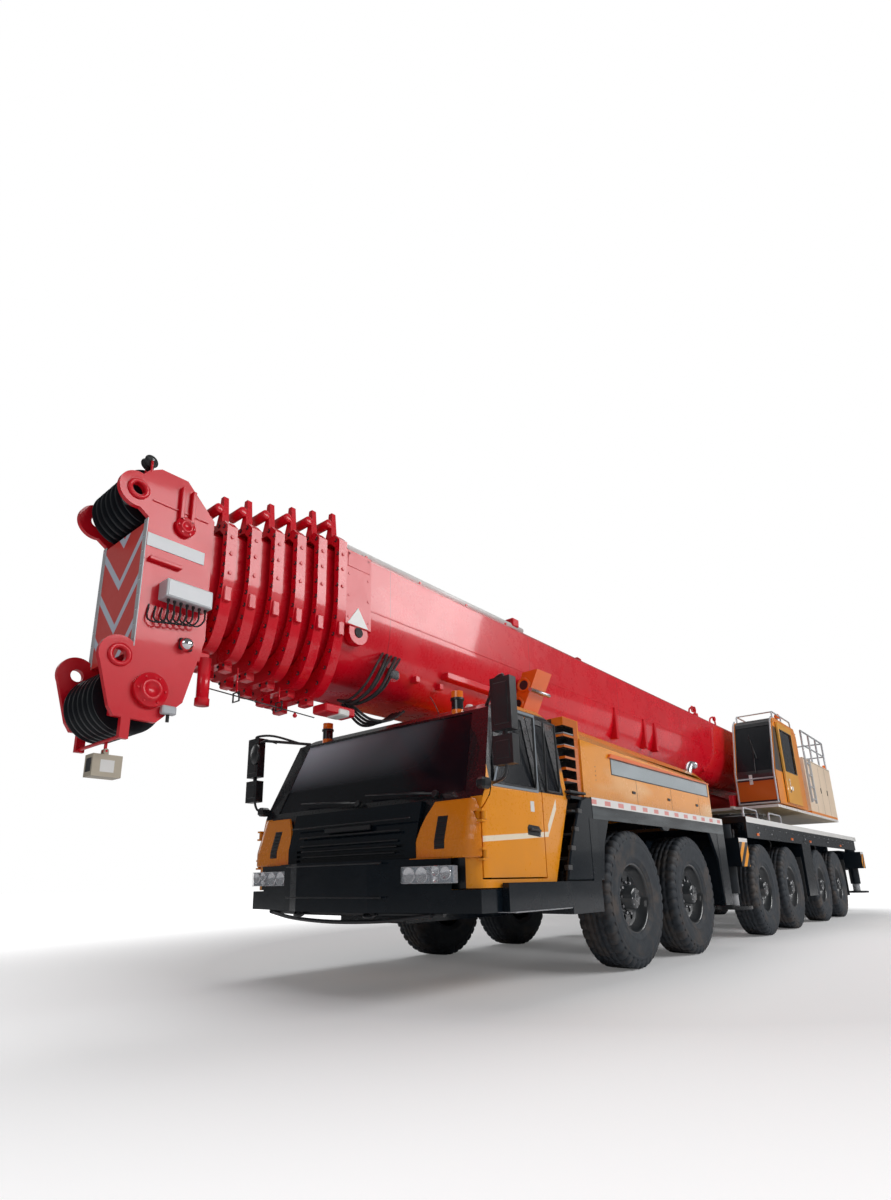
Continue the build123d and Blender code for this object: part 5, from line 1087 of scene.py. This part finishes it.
def sliding_door_fittings():
    """Seal round the pane, handle and rail shoes."""
    fit = Fitting()
    y = 1.5085
    ring = np.array([(at(-7.76), y, 2.77), (at(-6.93), y, 2.77), (at(-6.93), y, 3.57), (at(-7.76), y, 3.57)])
    fit.pipe(np.concatenate([np.linspace(ring[i], ring[(i + 1) % 4], 6)[:-1] for i in range(4)]), 0.010, 0, 6, True)
    fit.bar((at(-6.99), y + 0.020, 2.36), (at(-6.99), y + 0.020, 2.62), 0.009, 1, 8)
    for z in (2.38, 2.60):
        fit.bar((at(-6.99), y - 0.002, z), (at(-6.99), y + 0.020, z), 0.008, 1, 8)
    fit.box(at(-7.28), at(-7.18), y, y + 0.002, 2.42, 2.50, 2, 0.0008)
    fit.done("sliding_door_fittings", "upper_cab_door", [plastic, chrome, white])


house_fittings()
operator_cab_fittings()
sliding_door_fittings()


# Floor, light and camera
def studio():
    """Pale floor that shows white to the camera away from the shadow, a white world, and soft lamps."""
    floor = Finish("floor_pale", (0.86, 0.86, 0.87), 0.65, spec=0.2)
    floor.lay(((floor.noise(0.4, 3) - 0.5) * 0.5).clamped(), (0.84, 0.84, 0.85))
    away = (floor.x * floor.x * 0.55 + floor.y * floor.y).math("SQRT")
    seen = floor.node("LightPath", out="Is Camera Ray")
    glow = seen * (0.10 + ((away - 5.6) / 8.0).clamped() * 1.1)
    floor.tree.links.new(floor.node("Mix", {"data_type": "RGBA"},
                                    {0: glow.clamped(), 6: (0, 0, 0, 1), 7: (1, 1, 1, 1)}, out=2).socket,
                         floor.shader.inputs["Emission Color"])
    floor.shader.inputs["Emission Strength"].default_value = 1.0
    fit = Fitting()
    fit.skin([[(-120, -120, -0.002), (-120, 120, -0.002)], [(120, -120, -0.002), (120, 120, -0.002)]], 0, False,
             outward=False)
    mesh = bpy.data.meshes.new("floor")
    mesh.from_pydata(np.concatenate(fit.verts).tolist(), [], fit.faces)
    mesh.materials.append(floor.material)
    ground = bpy.data.objects.new("floor", mesh)
    bpy.context.scene.collection.objects.link(ground)
    world = bpy.data.worlds.new("studio")
    bpy.context.scene.world = world
    world.use_nodes = True
    tree = world.node_tree
    back = tree.nodes["Background"]
    back.inputs["Color"].default_value = (1, 1, 1, 1)
    path = tree.nodes.new("ShaderNodeLightPath")
    seen = tree.nodes.new("ShaderNodeMath")
    seen.operation = "MAXIMUM"
    tree.links.new(path.outputs["Is Camera Ray"], seen.inputs[0])
    tree.links.new(path.outputs["Is Transmission Ray"], seen.inputs[1])
    level = tree.nodes.new("ShaderNodeMapRange")
    level.inputs["To Min"].default_value = 0.13
    level.inputs["To Max"].default_value = 1.0
    tree.links.new(seen.outputs[0], level.inputs["Value"])
    tree.links.new(level.outputs["Result"], back.inputs["Strength"])
    for name, place, target, size, power in (
            ("broad_left", (-6, 22, 15), (1, 0, 2.2), (26, 7), 4600),
            ("sheen", (-19, 11.5, 4.6), (2, 1.4, 2.0), (9, 5), 75),
            ("front_fill", (26, 6, 9), (5, 0, 1.5), (12, 8), 520),
            ("top", (0, -4, 20), (0, 0, 1.5), (22, 10), 1500),
            ("right_fill", (2, -24, 10), (0, 0, 1.5), (20, 8), 500)):
        data = bpy.data.lights.new(name, "AREA")
        data.shape = "RECTANGLE"
        data.size, data.size_y = size
        data.energy = power
        lamp = bpy.data.objects.new(name, data)
        lamp.location = place
        lamp.rotation_euler = (Vector(target) - Vector(place)).to_track_quat("-Z", "Y").to_euler()
        bpy.context.scene.collection.objects.link(lamp)


def camera():
    """The photograph's view: low, near the front left corner, looking up along the boom."""
    yaw, pitch, roll = math.radians(40.763), math.radians(16.236), math.radians(-1.043)
    ahead = Vector((-math.cos(yaw) * math.cos(pitch), -math.sin(yaw) * math.cos(pitch), math.sin(pitch)))
    right = ahead.cross(Vector((0, 0, 1))).normalized()
    up = right.cross(ahead)
    r = right * math.cos(roll) + up * math.sin(roll)
    u = up * math.cos(roll) - right * math.sin(roll)
    data = bpy.data.cameras.new("camera")
    data.sensor_width = 36
    data.lens = 658.19 / 1200 * 36
    data.shift_x = (445.5 - 428.47) / 1200
    data.shift_y = (689.78 - 600) / 1200
    data.clip_end = 400
    eye = bpy.data.objects.new("camera", data)
    bpy.context.scene.collection.objects.link(eye)
    m = Matrix((r, u, -ahead)).transposed().to_4x4()
    m.translation = Vector((at(6.808), 4.5006, 0.8854))
    eye.matrix_world = m
    bpy.context.scene.camera = eye


studio()
camera()
bpy.context.scene.view_settings.view_transform = "Standard"
